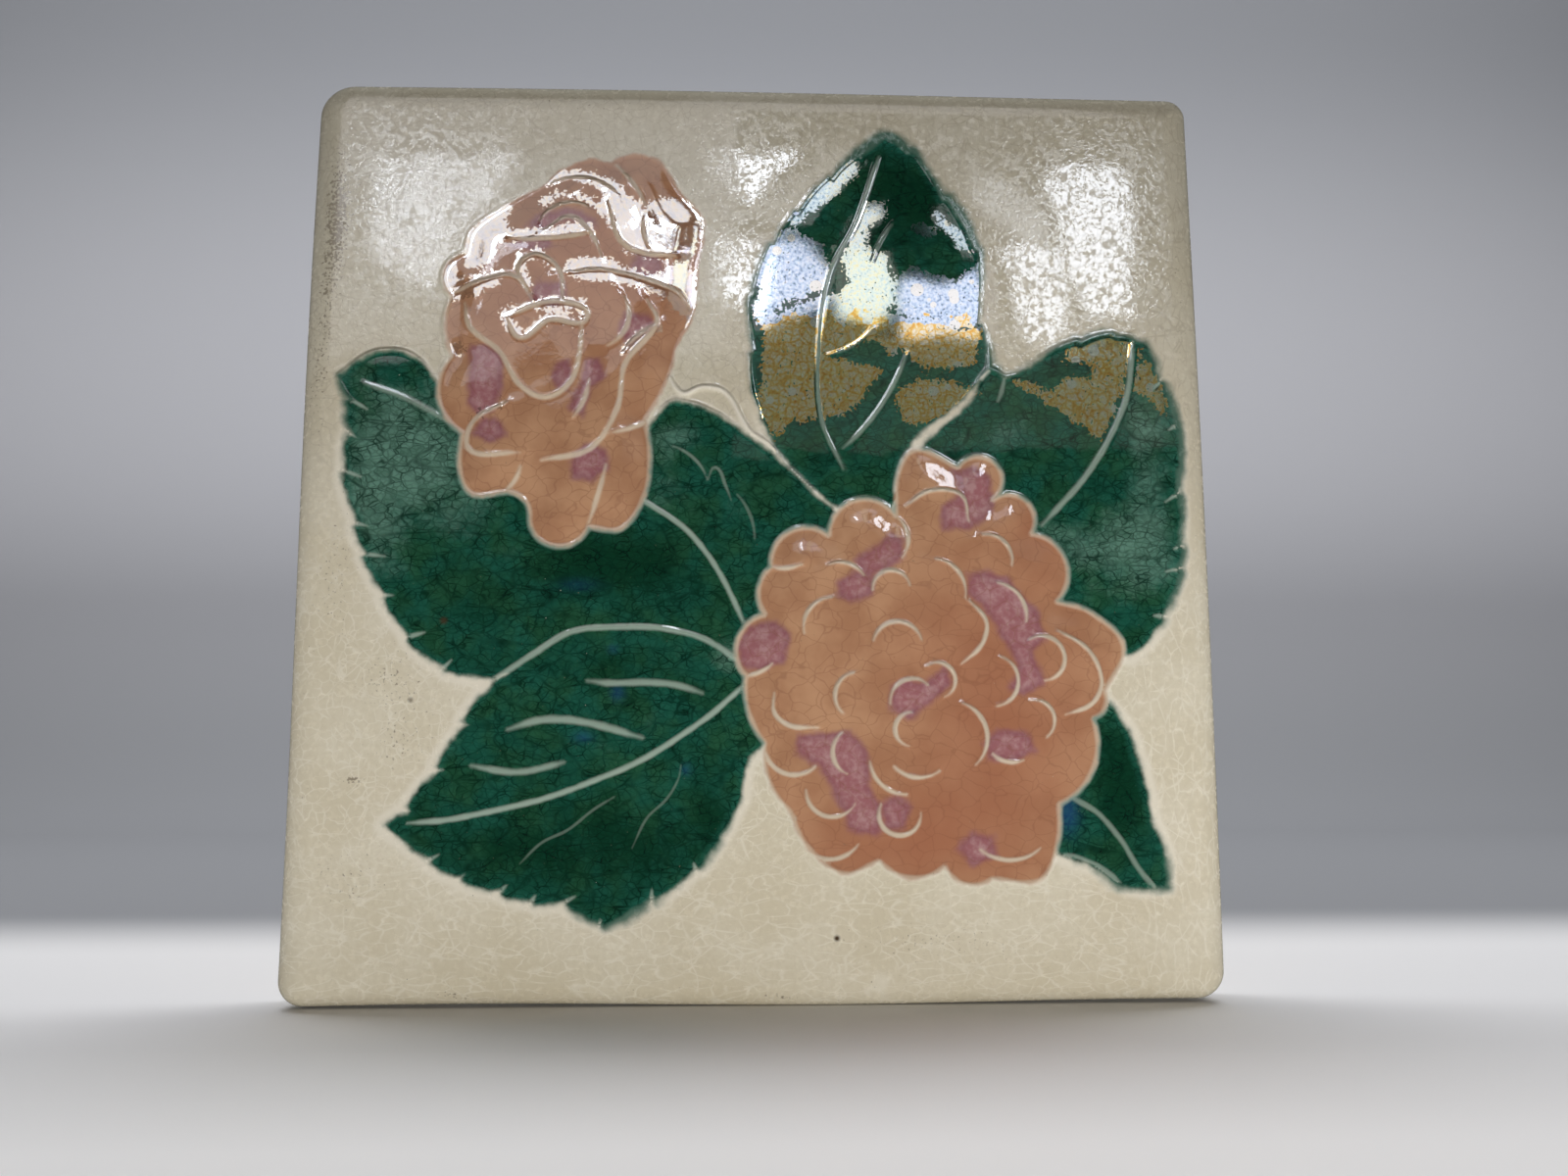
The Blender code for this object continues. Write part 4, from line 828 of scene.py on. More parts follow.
def leaves(step):
    """Each leaf from the rearmost to the foremost: its outline and the strokes drawn on it."""
    left_edge, left_slits = toothed(LEFT_LEAF_TEETH, step, -1, 1.0)
    hidden_stalk = smooth((LOW_LEAF_TOP[-1], (-20.0, -24.0), LOW_LEAF_TOP[0], MIDDLE_LEAF_TOP[0]), step)
    left = closed(
        left_edge[::-1], smooth((LEFT_LEAF_TEETH[0], LOW_LEAF_TOP[-1]), step), hidden_stalk,
        smooth(MIDDLE_LEAF_TOP, step), smooth((MIDDLE_LEAF_TOP[-1], LEFT_LEAF_TOP[0]), step),
        smooth(LEFT_LEAF_TOP, step),
    )
    right_top, top_slits = toothed(RIGHT_LEAF_TOP_TEETH, step, -1, 0.0)
    right_edge, right_slits = toothed(RIGHT_LEAF_TEETH, step, 1, 0.7)
    right = closed(
        smooth(RIGHT_LEAF_TOP, step), right_top, right_edge[::-1], smooth(RIGHT_LEAF_STALK, step)[::-1],
    )
    top_left, top_left_slits = toothed(TOP_LEAF_LEFT_TEETH, step, -1, 0.0)
    top_right, top_right_slits = toothed(TOP_LEAF_RIGHT_TEETH, step, 1, 0.0)
    top = closed(
        smooth(TOP_LEAF_STALK, step), top_left, top_right[::-1], smooth(TOP_LEAF_RIDGE, step)[::-1],
    )
    low_upper, low_upper_slits = toothed(LOW_LEAF_UPPER_TEETH, step, 1, 0.35)
    low_lower, low_lower_slits = toothed(LOW_LEAF_LOWER_TEETH, step, -1, 0.5)
    low = closed(
        smooth(LOW_LEAF_TOP, step), low_upper, low_lower[::-1], smooth(LOW_LEAF_STALK, step)[::-1],
    )
    corner = closed(
        smooth(CORNER_LEAF_EDGE, step), smooth(CORNER_LEAF_FOOT, step), smooth(CORNER_LEAF_STALK, step),
    )
    return (
        (left, LEFT_RIBS, left_slits),
        (right, RIGHT_RIBS, top_slits + right_slits),
        (top, TOP_RIBS, top_left_slits + top_right_slits),
        (low, LOW_RIBS, low_upper_slits + low_lower_slits),
        (corner, CORNER_RIBS, []),
    )


def in_metres(points):
    """Master-sheet millimetres to metres on the tile."""
    scale = (TILE_WIDTH / MASTER_WIDTH, TILE_HEIGHT / MASTER_HEIGHT)
    return (np.asarray(points, float) - MASTER_MIDDLE) * scale


def is_inside(outline, points):
    """Which points lie inside a closed outline."""
    inside = np.zeros(len(points), bool)
    for (ax, az), (bx, bz) in zip(outline, np.roll(outline, -1, axis=0)):
        if az == bz:
            continue
        crosses = (az > points[:, 1]) != (bz > points[:, 1])
        inside ^= crosses & (points[:, 0] < (bx - ax) * (points[:, 1] - az) / (bz - az) + ax)
    return inside


def distance(line, points, reach=math.inf):
    """How far each point is from a line, on which side, positive to the left, and how far along the line.

    Points beyond reach of the line's box are only told to be beyond it.
    """
    best = np.full(len(points), reach)
    side = np.ones(len(points))
    along = np.zeros(len(points))
    boxed = np.all((points > line.min(axis=0) - reach) & (points < line.max(axis=0) + reach), axis=1)
    near = np.flatnonzero(boxed)
    start = 0.0
    for a, b in zip(line[:-1], line[1:]):
        step = b - a
        length = max(np.linalg.norm(step), 1e-9)
        offset = points[near] - a
        t = np.clip(offset @ step / length ** 2, 0, 1)
        gap = np.linalg.norm(offset - t[:, None] * step, axis=1)
        nearer = gap < best[near]
        found = near[nearer]
        best[found] = gap[nearer]
        side[found] = np.sign(step[0] * offset[nearer, 1] - step[1] * offset[nearer, 0])
        along[found] = start + t[nearer] * length
        start += length
    return best, side, along


def ease(t):
    """0 below t = 0, 1 above t = 1 and smooth between."""
    t = np.clip(t, 0, 1)
    return t * t * (3 - 2 * t)


def bead(gap, width):
    """The section of a raised line, 1 on its middle and 0 at half its width."""
    t = np.clip(gap / (width / 2), 0, 1)
    return (1 - t * t) ** 2


class Relief:
    """The ornament in metres: fields of leaves and blossoms from the back to the front, and their strokes."""

    def __init__(self, step):
        master_step = step / TILE_WIDTH * MASTER_WIDTH
        self.fields = []
        for outline, ribs, slits in leaves(master_step):
            strokes = [(*looks, in_metres(stroke(points, master_step))) for *looks, points in ribs]
            cuts = [(*looks, in_metres(smooth(points, master_step))) for *looks, points in slits]
            self.fields.append(("leaf", in_metres(outline), strokes, cuts))
        for lobes, petals, looks in (
            (LEFT_BLOSSOM, LEFT_PETALS, LEFT_PETAL_LOOK), (RIGHT_BLOSSOM, RIGHT_PETALS, RIGHT_PETAL_LOOK),
        ):
            outline = in_metres(ring_of_lobes(lobes, master_step))
            strokes = [(*looks, in_metres(stroke(petal, master_step))) for petal in petals]
            self.fields.append(("blossom", outline, strokes, []))
        self.ridges = [(*looks, in_metres(stroke(points, master_step))) for *looks, points in FREE_RIDGES]
        self.plum = [in_metres(patch) for patch in LEFT_PLUM + RIGHT_PLUM]
        self.film = [in_metres(patch) for patch in FILM_PATCHES + SKIN_PATCHES]

    def read(self, points):
        """The form's height above the plain ground at each point, that of its lines, and the glazes' fields."""
        body = np.zeros(len(points))
        raised = np.zeros(len(points))
        line = np.zeros(len(points))
        pale = np.zeros(len(points))
        signed = {"leaf": np.full(len(points), -FAR), "blossom": np.full(len(points), -FAR)}
        leaf_rim = LEAF_EDGE_RIM + blobs(EDGE_RIDGES, points)
        keeps_edge = 1 - np.clip(blobs(DULL_EDGES, points), 0, 1)
        blossom_rim, blossom_pale = BLOSSOM_EDGE_RIM * keeps_edge, BLOSSOM_EDGE_PALE * keeps_edge
        everywhere = np.ones(len(points), bool)
        for ridge in self.ridges:
            draw(ridge, points, everywhere, raised, line, pale)
        for kind, outline, strokes, cuts in self.fields:
            depth = distance(looped(outline), points)[0]
            inside = is_inside(outline, points)
            over = body > 0
            signed[kind] = np.maximum(signed[kind], np.where(inside, depth, -depth))
            for values in (raised, line, pale):
                values[inside] = 0
            if kind == "leaf":
                body[inside] += ease(depth[inside] / LEAF_SHOULDER) * (LEAF_LIFT - body[inside])
                rim = np.where(over, OVERLAP_RIM, leaf_rim)
                rim_pale = np.where(over, OVERLAP_PALE, 0.0)
            else:
                form = self.blossom_form(points[inside], depth[inside], strokes)
                body[inside] += ease(depth[inside] / BLOSSOM_SHOULDER) * (form - body[inside])
                rim = blossom_rim
                rim_pale = blossom_pale
            raised[:] = np.maximum(raised, rim * bead(depth, RIM_WIDTH))
            lay(line, pale, np.clip(1 - depth / LINE_REACH, 0, 1), rim_pale)
            for pen in strokes:
                draw(pen, points, inside, raised, line, pale)
            for pen in cuts:
                draw(pen, points, everywhere, raised, line, pale)
        fields = {
            "leaf_depth": signed["leaf"] * 1000,
            "blossom_depth": signed["blossom"] * 1000,
            "plum_depth": patch_depth(self.plum, points) * 1000,
            "film_depth": patch_depth(self.film, points) * 1000,
            "line": line,
            "pale": pale,
        }
        return body, RIM_HEIGHT * raised, fields

    def slopes(self, points):
        """How steeply the form rises across and up at each point, without its fine lines."""
        steps = SLOPE_STEP * np.array([(1, 0), (-1, 0), (0, 1), (0, -1)])
        right, left, upper, lower = (self.read(points + step)[0] for step in steps)
        return np.column_stack([right - left, upper - lower]) / (2 * SLOPE_STEP)

    def blossom_form(self, points, depth, petals):
        """A blossom is a low mound of petals, each standing over the one that its rim overlaps."""
        mound = BLOSSOM_MOUND * (1 - (1 - np.clip(depth / MOUND_WIDTH, 0, 1)) ** 2)
        step = np.zeros(len(points))
        for *_, petal in petals:
            gap, side, _ = distance(petal, points)
            bend = np.cross(petal[len(petal) // 2] - petal[0], petal[-1] - petal[0])
            step += np.sign(bend) * side * np.exp(-gap / PETAL_STEP_WIDTH)
        return BLOSSOM_LIFT + mound + PETAL_STEP * np.tanh(step)

    def lines(self):
        """Every line whose crest shows, each cut where a nearer field covers it."""
        runs = [(ridge[-1], self.fields) for ridge in self.ridges]
        for number, (_, outline, strokes, cuts) in enumerate(self.fields):
            over = self.fields[number + 1:]
            runs.append((looped(outline), over))
            runs.extend((pen[-1], over) for pen in strokes + cuts)
        for line, over in runs:
            seen = np.ones(len(line), bool)
            for _, outline, _, _ in over:
                seen &= ~is_inside(outline, line)
            for run in np.split(np.arange(len(line)), np.flatnonzero(np.diff(seen.astype(int))) + 1):
                if seen[run[0]]:
                    yield line[run]


def patch_depth(patches, points):
    """How deep each point lies inside the painted patches, negative outside them."""
    depth = np.full(len(points), -FAR)
    for patch in patches:
        gap = distance(looped(patch), points, FAR)[0]
        depth = np.maximum(depth, np.where(is_inside(patch, points), gap, -gap))
    return depth


def lay(line, pale, fresh, strength):
    """Lay one stroke's paleness over the others: line tells how near its middle is, pale how pale it is."""
    nearer = fresh > line
    line[nearer] = fresh[nearer]
    pale[nearer] = np.broadcast_to(strength, line.shape)[nearer]


def draw(pen, points, where, raised, line, pale):
    """Draw one stroke into the heights and the paleness, thinning out at its two ends."""
    tall, strength, width, run = pen
    gap, _, along = distance(run, points, LINE_REACH * width)
    length = np.sum(np.linalg.norm(np.diff(run, axis=0), axis=1))
    taper = min(STROKE_TAPER, length * TAPER_SHARE)
    fade = ENDS_KEEP + (1 - ENDS_KEEP) * ease(np.minimum(along, length - along) / taper)
    section = np.where(where, fade * np.clip(1 - gap / (LINE_REACH * width), 0, 1), 0)
    raised[:] = np.maximum(raised, np.where(where, tall * fade * bead(gap, RIM_WIDTH * width), 0))
    lay(line, pale, section, strength)


def looped(outline):
    """A closed outline with its first point again at its end."""
    return np.vstack([outline, outline[:1]])


def rounded_ring(inset, side_count, corner_count):
    """The tile's outline moved in by inset, anticlockwise as seen from the face, always with as many points."""
    half_width, half_height = TILE_WIDTH / 2, TILE_HEIGHT / 2
    corners = (
        (1, 1, CORNER_TOP_RIGHT, 0.0),
        (-1, 1, CORNER_TOP_LEFT, math.pi / 2),
        (-1, -1, CORNER_BOTTOM_LEFT, math.pi),
        (1, -1, CORNER_BOTTOM_RIGHT, 1.5 * math.pi),
    )
    bends = []
    for across, up, radius, first in corners:
        bend = max(radius - inset, radius / 2)
        centre = np.array([across * (half_width - inset - bend), up * (half_height - inset - bend)])
        angles = first + np.linspace(0, math.pi / 2, corner_count + 1)
        bends.append(centre + bend * np.column_stack([np.cos(angles), np.sin(angles)]))
    ring = []
    for bend, after in zip(bends, bends[1:] + bends[:1]):
        ring.append(bend)
        ring.append(np.linspace(bend[-1], after[0], side_count + 1)[1:-1])
    return np.vstack(ring)


def distance_inside(points):
    """How far each point is inside the tile's outline."""
    half = np.array([TILE_WIDTH / 2, TILE_HEIGHT / 2])
    right, top = points[:, 0] > 0, points[:, 1] > 0
    radius = np.where(
        right,
        np.where(top, CORNER_TOP_RIGHT, CORNER_BOTTOM_RIGHT),
        np.where(top, CORNER_TOP_LEFT, CORNER_BOTTOM_LEFT),
    )
    q = np.abs(points) - half + radius[:, None]
    outside = np.linalg.norm(np.maximum(q, 0), axis=1)
    return radius - outside - np.minimum(np.max(q, axis=1), 0)


def edge_height(inset):
    """How far the rolled edge has fallen below the ground at this distance from the outline."""
    t = 1 - np.clip(inset / EDGE_ROLL_WIDTH, 0, 1)
    return -EDGE_ROLL_DROP * (1 - np.sqrt(1 - t * t))


def waved(points):
    """The slow waves that hand pressing left in the four edges."""
    x, z = points[:, 0] / (TILE_WIDTH / 2), points[:, 1] / (TILE_HEIGHT / 2)
    across = np.abs(x) ** 3 * np.where(x > 0, np.cos(1.5 * z) - 0.4, 0.7 * np.sin(2.6 * z + 0.5)) * np.sign(x)
    up = np.abs(z) ** 3 * np.where(z > 0, 0.5 * np.cos(2.2 * x + 0.4), 0.6 * np.sin(4.2 * x + 1.0)) * np.sign(z)
    return points + EDGE_WAVE * np.column_stack([across, up])


class Sheet:
    """Points on the face, kept apart from each other."""

    def __init__(self, cell):
        self.cell = cell
        self.points = []
        self.cells = {}

    def is_free(self, point, gap):
        column, row = (int(math.floor(v / self.cell)) for v in point)
        reach = int(math.ceil(gap / self.cell))
        for i in range(column - reach, column + reach + 1):
            for j in range(row - reach, row + reach + 1):
                for other in self.cells.get((i, j), ()):
                    if math.dist(other, point) < gap:
                        return False
        return True

    def add(self, point, gap):
        if not self.is_free(point, gap):
            return
        place = (float(point[0]), float(point[1]))
        self.points.append(place)
        self.cells.setdefault(tuple(int(math.floor(v / self.cell)) for v in place), []).append(place)


def evenly(line, step):
    """Points a step apart along a line, with its ends."""
    lengths = np.concatenate([[0], np.cumsum(np.linalg.norm(np.diff(line, axis=0), axis=1))])
    count = max(1, round(lengths[-1] / step))
    at = np.linspace(0, lengths[-1], count + 1)
    return np.column_stack([np.interp(at, lengths, line[:, axis]) for axis in (0, 1)])


def smooth_runs(line):
    """A line cut into its smooth runs, at the tips and notches where it turns sharply."""
    along = np.diff(line, axis=0)
    heading = np.unwrap(np.arctan2(along[:, 1], along[:, 0]))
    turns = np.abs(np.diff(heading))
    cuts = [0, *(np.flatnonzero(turns > SHARP_TURN) + 1), len(line) - 1]
    return [line[start:end + 1] for start, end in zip(cuts, cuts[1:])]


def face_points(relief, rings):
    """The face's points: its edge rings, rows along every line, and a field between them."""
    sheet = Sheet(CLEARANCE)
    for ring in rings:
        for point in ring:
            sheet.add(point, 0)
    for x, z, radius, _, _ in SPECKS:
        middle = in_metres((x, z))
        sheet.add(middle, 0)
        for share, count in SPECK_RINGS:
            for angle in np.linspace(0, math.tau, count, endpoint=False):
                sheet.add(middle + share * radius / 1000 * np.array([math.cos(angle), math.sin(angle)]), 0)
    ground_start = EDGE_ROLL_WIDTH + CLEARANCE / 2
    lines = [evenly(run, STROKE_STEP) for line in relief.lines() if len(line) > 1 for run in smooth_runs(line)]
    for row in STROKE_ROWS:
        for line in lines:
            along = np.gradient(line, axis=0)
            across = np.column_stack([-along[:, 1], along[:, 0]]) / np.linalg.norm(along, axis=1)[:, None]
            for side in (1, -1) if row else (0,):
                beside = line + side * row * across
                for point in beside[distance_inside(beside) > ground_start]:
                    sheet.add(point, CLEARANCE)
    row_height = FIELD_STEP * math.sqrt(0.75)
    rows = int(TILE_HEIGHT / 2 / row_height)
    columns = int(TILE_WIDTH / 2 / FIELD_STEP)
    for row in range(-rows, rows + 1):
        shift = row % 2 / 2
        line = np.array(
            [((column + shift) * FIELD_STEP, row * row_height) for column in range(-columns, columns + 1)]
        )
        for point in line[distance_inside(line) > ground_start + FIELD_STEP / 3]:
            sheet.add(point, FIELD_STEP * 0.6)
    return np.array(sheet.points)


def swell(points):
    """The pressed clay's slow swell with the ripple of the glaze that ran over it."""
    height = []
    for x, z in points:
        slow = noise.noise((x / SWELL_SPACING, z / SWELL_SPACING, 0.5))
        fast = noise.noise((x / RIPPLE_SPACING, z / RIPPLE_SPACING, 7.5))
        height.append(SWELL_HEIGHT * slow + RIPPLE_HEIGHT * fast)
    return np.array(height)


def blobs(spots, points):
    """Soft oval spots added up: each is a middle, a reach across and up in millimetres, and a strength."""
    total = np.zeros(len(points))
    for x, z, across, up, strength in spots:
        offset = (points - in_metres((x, z))) * 1000 / (across, up)
        total += strength * np.exp(-np.sum(offset ** 2, axis=1))
    return total


def groove_depth(points):
    """How deep the back is keyed at each point."""
    pitch = (TILE_WIDTH - 2 * GROOVE_MARGIN) / GROOVE_COUNT
    first = -(GROOVE_COUNT - 1) / 2 * pitch
    number = np.clip(np.round((points[:, 0] - first) / pitch), 0, GROOVE_COUNT - 1)
    across = np.abs(points[:, 0] - first - number * pitch)
    along = np.abs(points[:, 1])
    inner = np.minimum(GROOVE_WIDTH / 2 - across, TILE_HEIGHT / 2 - GROOVE_MARGIN - along)
    return GROOVE_DEPTH * ease(inner / GROOVE_BEND)


def back_points():
    """Points over the back: rows on the lands, the walls and the floors of its grooves."""
    pitch = (TILE_WIDTH - 2 * GROOVE_MARGIN) / GROOVE_COUNT
    wall = (GROOVE_WIDTH / 2, GROOVE_WIDTH / 2 - GROOVE_BEND / 2, GROOVE_WIDTH / 2 - GROOVE_BEND)
    across = [(GROOVE_COUNT / 2 + step) * pitch for step in (-GROOVE_COUNT, 0)]
    for number in range(GROOVE_COUNT):
        middle = (number - (GROOVE_COUNT - 1) / 2) * pitch
        across += [middle, middle - pitch / 2, *(middle + side * offset for side in (1, -1) for offset in wall)]
    reach = TILE_WIDTH / 2 - BACK_INSET
    across += list(np.linspace(GROOVE_COUNT / 2 * pitch, reach, BACK_MARGIN_ROWS)[1:])
    across += list(-np.linspace(GROOVE_COUNT / 2 * pitch, reach, BACK_MARGIN_ROWS)[1:])
    end = TILE_HEIGHT / 2 - GROOVE_MARGIN
    up = list(np.linspace(-end + GROOVE_BEND, end - GROOVE_BEND, BACK_ROWS))
    for side in (1, -1):
        up += [side * end, side * (end - GROOVE_BEND / 2)]
        up += list(side * np.linspace(end, TILE_HEIGHT / 2 - BACK_INSET, BACK_MARGIN_ROWS)[1:])
    return np.array([(x, z) for x in sorted(set(across)) for z in sorted(set(up))])


def triangulated(points, edge_count):
    """Triangles over points whose first edge_count are the closed outline."""
    flat, _, triangles, _, _, _ = delaunay_2d_cdt(
        [Vector(point) for point in points], [], [list(range(edge_count))], 1, MERGE_GAP
    )
    if len(flat) != len(points):
        raise ValueError("the points must stay apart")
    return [tuple(triangle) for triangle in triangles]


def tile_surface(relief):
    """The closed surface: its corners, its faces, how many faces are glazed, and the fields at each corner."""
    rings = [rounded_ring(share * EDGE_ROLL_WIDTH, SIDE_COUNT, CORNER_COUNT) for share in ROLL_SHARES]
    count = len(rings[0])
    points = face_points(relief, rings)
    faces = triangulated(points, count)
    body, raised, fields = relief.read(points)
    inset = distance_inside(points)
    pits = np.zeros(len(points))
    darks = np.zeros(len(points))
    for x, z, radius, dark, deep in SPECKS:
        gap = np.linalg.norm(points - in_metres((x, z)), axis=1) * 1000 / radius
        pits += deep / 1000 * bead(gap, 2.0)
        darks = np.maximum(darks, dark * ease((1.3 - gap) / 0.6))
    fields |= {
        "pool": blobs(GLAZE_POOLS, points),
        "grime": blobs(STAINS, points),
        "speck": darks,
        "bleed": blobs(BLEEDS, points),
        "cobalt": blobs(COBALTS, points),
        "blush": blobs(BLUSHES, points),
    }
    front = TILE_THICKNESS + edge_height(inset) + body + raised - pits
    front += swell(points) * ease(inset / EDGE_ROLL_WIDTH)
    lip = TILE_THICKNESS - EDGE_ROLL_DROP
    front[:count] = lip
    flat = [waved(points)]
    depths = [front]
    sides = [(0.0, lip - LIP_HEIGHT)]
    for share in SIDE_SHARES:
        sides.append((SIDE_DRAFT * share, (lip - LIP_HEIGHT) * (1 - share) + BACK_CHAMFER * share))
    for turn in CHAMFER_TURNS:
        sides.append((SIDE_DRAFT + BACK_CHAMFER * (1 - math.cos(turn)), BACK_CHAMFER * (1 - math.sin(turn))))
    upper = 0
    glazed = 0
    for inset_here, depth in sides:
        lower = sum(len(part) for part in depths)
        flat.append(waved(rounded_ring(inset_here, SIDE_COUNT, CORNER_COUNT)))
        depths.append(np.full(count, depth))
        for i in range(count):
            j = (i + 1) % count
            faces.append((upper + j, upper + i, lower + i, lower + j))
        if depth >= BACK_CHAMFER:
            glazed = len(faces)
        upper = lower
    ring = rounded_ring(SIDE_DRAFT + BACK_CHAMFER, SIDE_COUNT, CORNER_COUNT)
    inner = back_points()
    base = sum(len(part) for part in depths)
    place = [upper + i for i in range(count)] + [base + i for i in range(len(inner))]
    for triangle in triangulated(np.vstack([ring, inner]), count):
        faces.append(tuple(place[corner] for corner in reversed(triangle)))
    flat.append(waved(inner))
    depths.append(groove_depth(inner))
    flat, depths = np.vstack(flat), np.concatenate(depths)
    corners = np.column_stack([flat[:, 0], -depths, flat[:, 1]])
    for name, values in fields.items():
        around = np.tile(values[:count], len(sides))
        fields[name] = np.concatenate([values, around, np.full(len(inner), OFF_FACE[name])])
    return corners, faces, glazed, fields


def linear(colour):
    """An sRGB hex colour as the linear colour that a shader takes."""
    parts = [int(colour[start:start + 2], 16) / 255 for start in (1, 3, 5)]
    return (*(part / 12.92 if part <= 0.04045 else ((part + 0.055) / 1.055) ** 2.4 for part in parts), 1.0)


def add(tree, kind, inputs, output=0, **settings):
    """One node with its settings and its inputs' values, hex colours or links. Gives one of its outputs."""
    made = tree.nodes.new(kind)
    for name, value in settings.items():
        setattr(made, name, value)
    for name, value in inputs.items():
        if isinstance(value, bpy.types.NodeSocket):
            tree.links.new(value, made.inputs[name])
        else:
            made.inputs[name].default_value = linear(value) if isinstance(value, str) else value
    return made.outputs[output]


def crazed(tree, place, net):
    """Places bent and stretched so that the cells of a net of cracks drawn in them are uneven."""
    cell, _, stretch, start = net
    drawn = add(tree, "ShaderNodeVectorMath", {0: place, 1: stretch}, operation="MULTIPLY")
    drawn = add(tree, "ShaderNodeVectorMath", {0: drawn, 1: (start, 0.0, start)}, operation="ADD")
    bend = add(tree, "ShaderNodeTexNoise", {"Vector": drawn, "Scale": NET_BENDS / cell, "Detail": 2.0}, 1)
    bend = add(tree, "ShaderNodeVectorMath", {0: bend, 1: (0.5, 0.5, 0.5)}, operation="SUBTRACT")
    bend = add(tree, "ShaderNodeVectorMath", {0: bend, "Scale": cell * NET_BEND_REACH}, operation="SCALE")
    return add(tree, "ShaderNodeVectorMath", {0: drawn, 1: bend}, operation="ADD")


def crazing(tree, drawn, net):
    """A net of fine cracks in the glaze, 1 in the middle of a crack, at places that it has already bent."""
    cell, line, _, _ = net
    gap = add(
        tree, "ShaderNodeTexVoronoi", {"Vector": drawn, "Scale": 1 / cell}, "Distance",
        feature="DISTANCE_TO_EDGE",
    )
    return add(tree, "ShaderNodeMapRange", {"Value": gap, "From Min": line / cell, "From Max": 0.0}, **SOFT)


def glazed_earthenware():
    """Majolica: soft coloured lead glazes run over a moulded cream earthenware body and fired once.

    To the eye it is wet-looking and deep, pale where the glaze drew off the raised lines and dark where it
    pooled, crazed all over, with colours that bleed a little past their lines and a weathered lustre on the
    upper leaves.
    """
    material = bpy.data.materials.new("glazed_earthenware")
    material.use_nodes = True
    tree = material.node_tree
    shader = tree.nodes["Principled BSDF"]
    spot = add(tree, "ShaderNodeTexCoord", {}, "Object")
    place = add(tree, "ShaderNodeVectorMath", {0: spot, "Scale": MILLIMETRES}, operation="SCALE")
    across = add(tree, "ShaderNodeSeparateXYZ", {"Vector": place}, "X")
    up = add(tree, "ShaderNodeSeparateXYZ", {"Vector": place}, "Z")
    leaf, blossom, plum, film_depth, line, pale, pool, grime, speck, smoke, cobalt, blush = (
        add(tree, "ShaderNodeAttribute", {}, "Fac", attribute_name=name) for name in OFF_FACE
    )

    # Unevenness at four sizes: the glaze's run, its clouds, the wobble of the brush and the clay's own mottle
    run = add(tree, "ShaderNodeTexNoise", {"Vector": place, "Scale": 1 / RUN_SIZE, "Detail": 3.0})
    cloud = add(tree, "ShaderNodeTexNoise", {"Vector": place, "Scale": 1 / CLOUD_SIZE, "Detail": 3.0}, 1)
    tint = add(tree, "ShaderNodeSeparateColor", {"Color": cloud}, "Green")
    cloud = add(tree, "ShaderNodeSeparateColor", {"Color": cloud}, "Red")
    brush = add(tree, "ShaderNodeTexNoise", {"Vector": place, "Scale": 1 / BRUSH_SIZE, "Detail": 4.0})
    mottle = add(tree, "ShaderNodeTexNoise", {"Vector": place, "Scale": 1 / MOTTLE_SIZE, "Detail": 3.0})
    waver = add(tree, "ShaderNodeMath", {0: brush, 1: 0.5}, operation="SUBTRACT")

    # Cream ground, greyer higher up, which is painted shade. Its crazing is drawn out along the lower and the
    # right edge, pale low down, where the pale lines are a painted highlight on the real cracks, and faint
    # higher up.
    share = add(tree, "ShaderNodeMapRange", {"Value": run, "From Min": 0.3, "From Max": 0.7}, **SOFT)
    cream = add(tree, "ShaderNodeMix", {FACTOR: share, UNDER: CREAM_DEEP, OVER: CREAM}, MIXED, **COLOURS)
    share = add(
        tree, "ShaderNodeMapRange", {"Value": mottle, "From Min": 0.35, "From Max": 0.7, "To Max": 0.35}, **SOFT
    )
    cream = add(tree, "ShaderNodeMix", {FACTOR: share, UNDER: cream, OVER: CREAM_GRAIN}, MIXED, **COLOURS)
    # Painted shade: the cream greys towards the top of the tile
    share = add(tree, "ShaderNodeMapRange", {"Value": up, "From Min": -5.0, "From Max": 60.0, "To Max": 0.42})
    cream = add(tree, "ShaderNodeMix", {FACTOR: share, UNDER: cream, OVER: CREAM_TOP_SHADE}, MIXED, **COLOURS)
    cracks = crazing(tree, crazed(tree, place, GROUND_NET), GROUND_NET)
    low_cracks = crazing(tree, crazed(tree, place, LOW_NET), LOW_NET)
    side_cracks = crazing(tree, crazed(tree, place, SIDE_NET), SIDE_NET)
    low_down = add(tree, "ShaderNodeMapRange", {"Value": up, "From Min": -48.0, "From Max": -62.0}, **SOFT)
    cracks = add(tree, "ShaderNodeMapRange", {"Value": low_down, "To Min": cracks, "To Max": low_cracks})
    by_side = add(tree, "ShaderNodeMapRange", {"Value": across, "From Min": 58.0, "From Max": 64.0}, **SOFT)
    cracks = add(tree, "ShaderNodeMapRange", {"Value": by_side, "To Min": cracks, "To Max": side_cracks})
    wide_cracks = crazing(tree, crazed(tree, place, WIDE_NET), WIDE_NET)
    cracks = add(tree, "ShaderNodeMath", {0: cracks, 1: wide_cracks}, operation="MAXIMUM")
    high_up = add(tree, "ShaderNodeMapRange", {"Value": up, "From Min": -20.0, "From Max": 30.0}, **SOFT)
    share = add(tree, "ShaderNodeMapRange", {"Value": high_up, "To Min": 0.52, "To Max": 0.36})
    share = add(tree, "ShaderNodeMath", {0: cracks, 1: share}, operation="MULTIPLY")
    broken = add(tree, "ShaderNodeMapRange", {"Value": brush, "From Min": 0.35, "From Max": 0.55})
    share = add(tree, "ShaderNodeMath", {0: share, 1: broken}, operation="MULTIPLY")
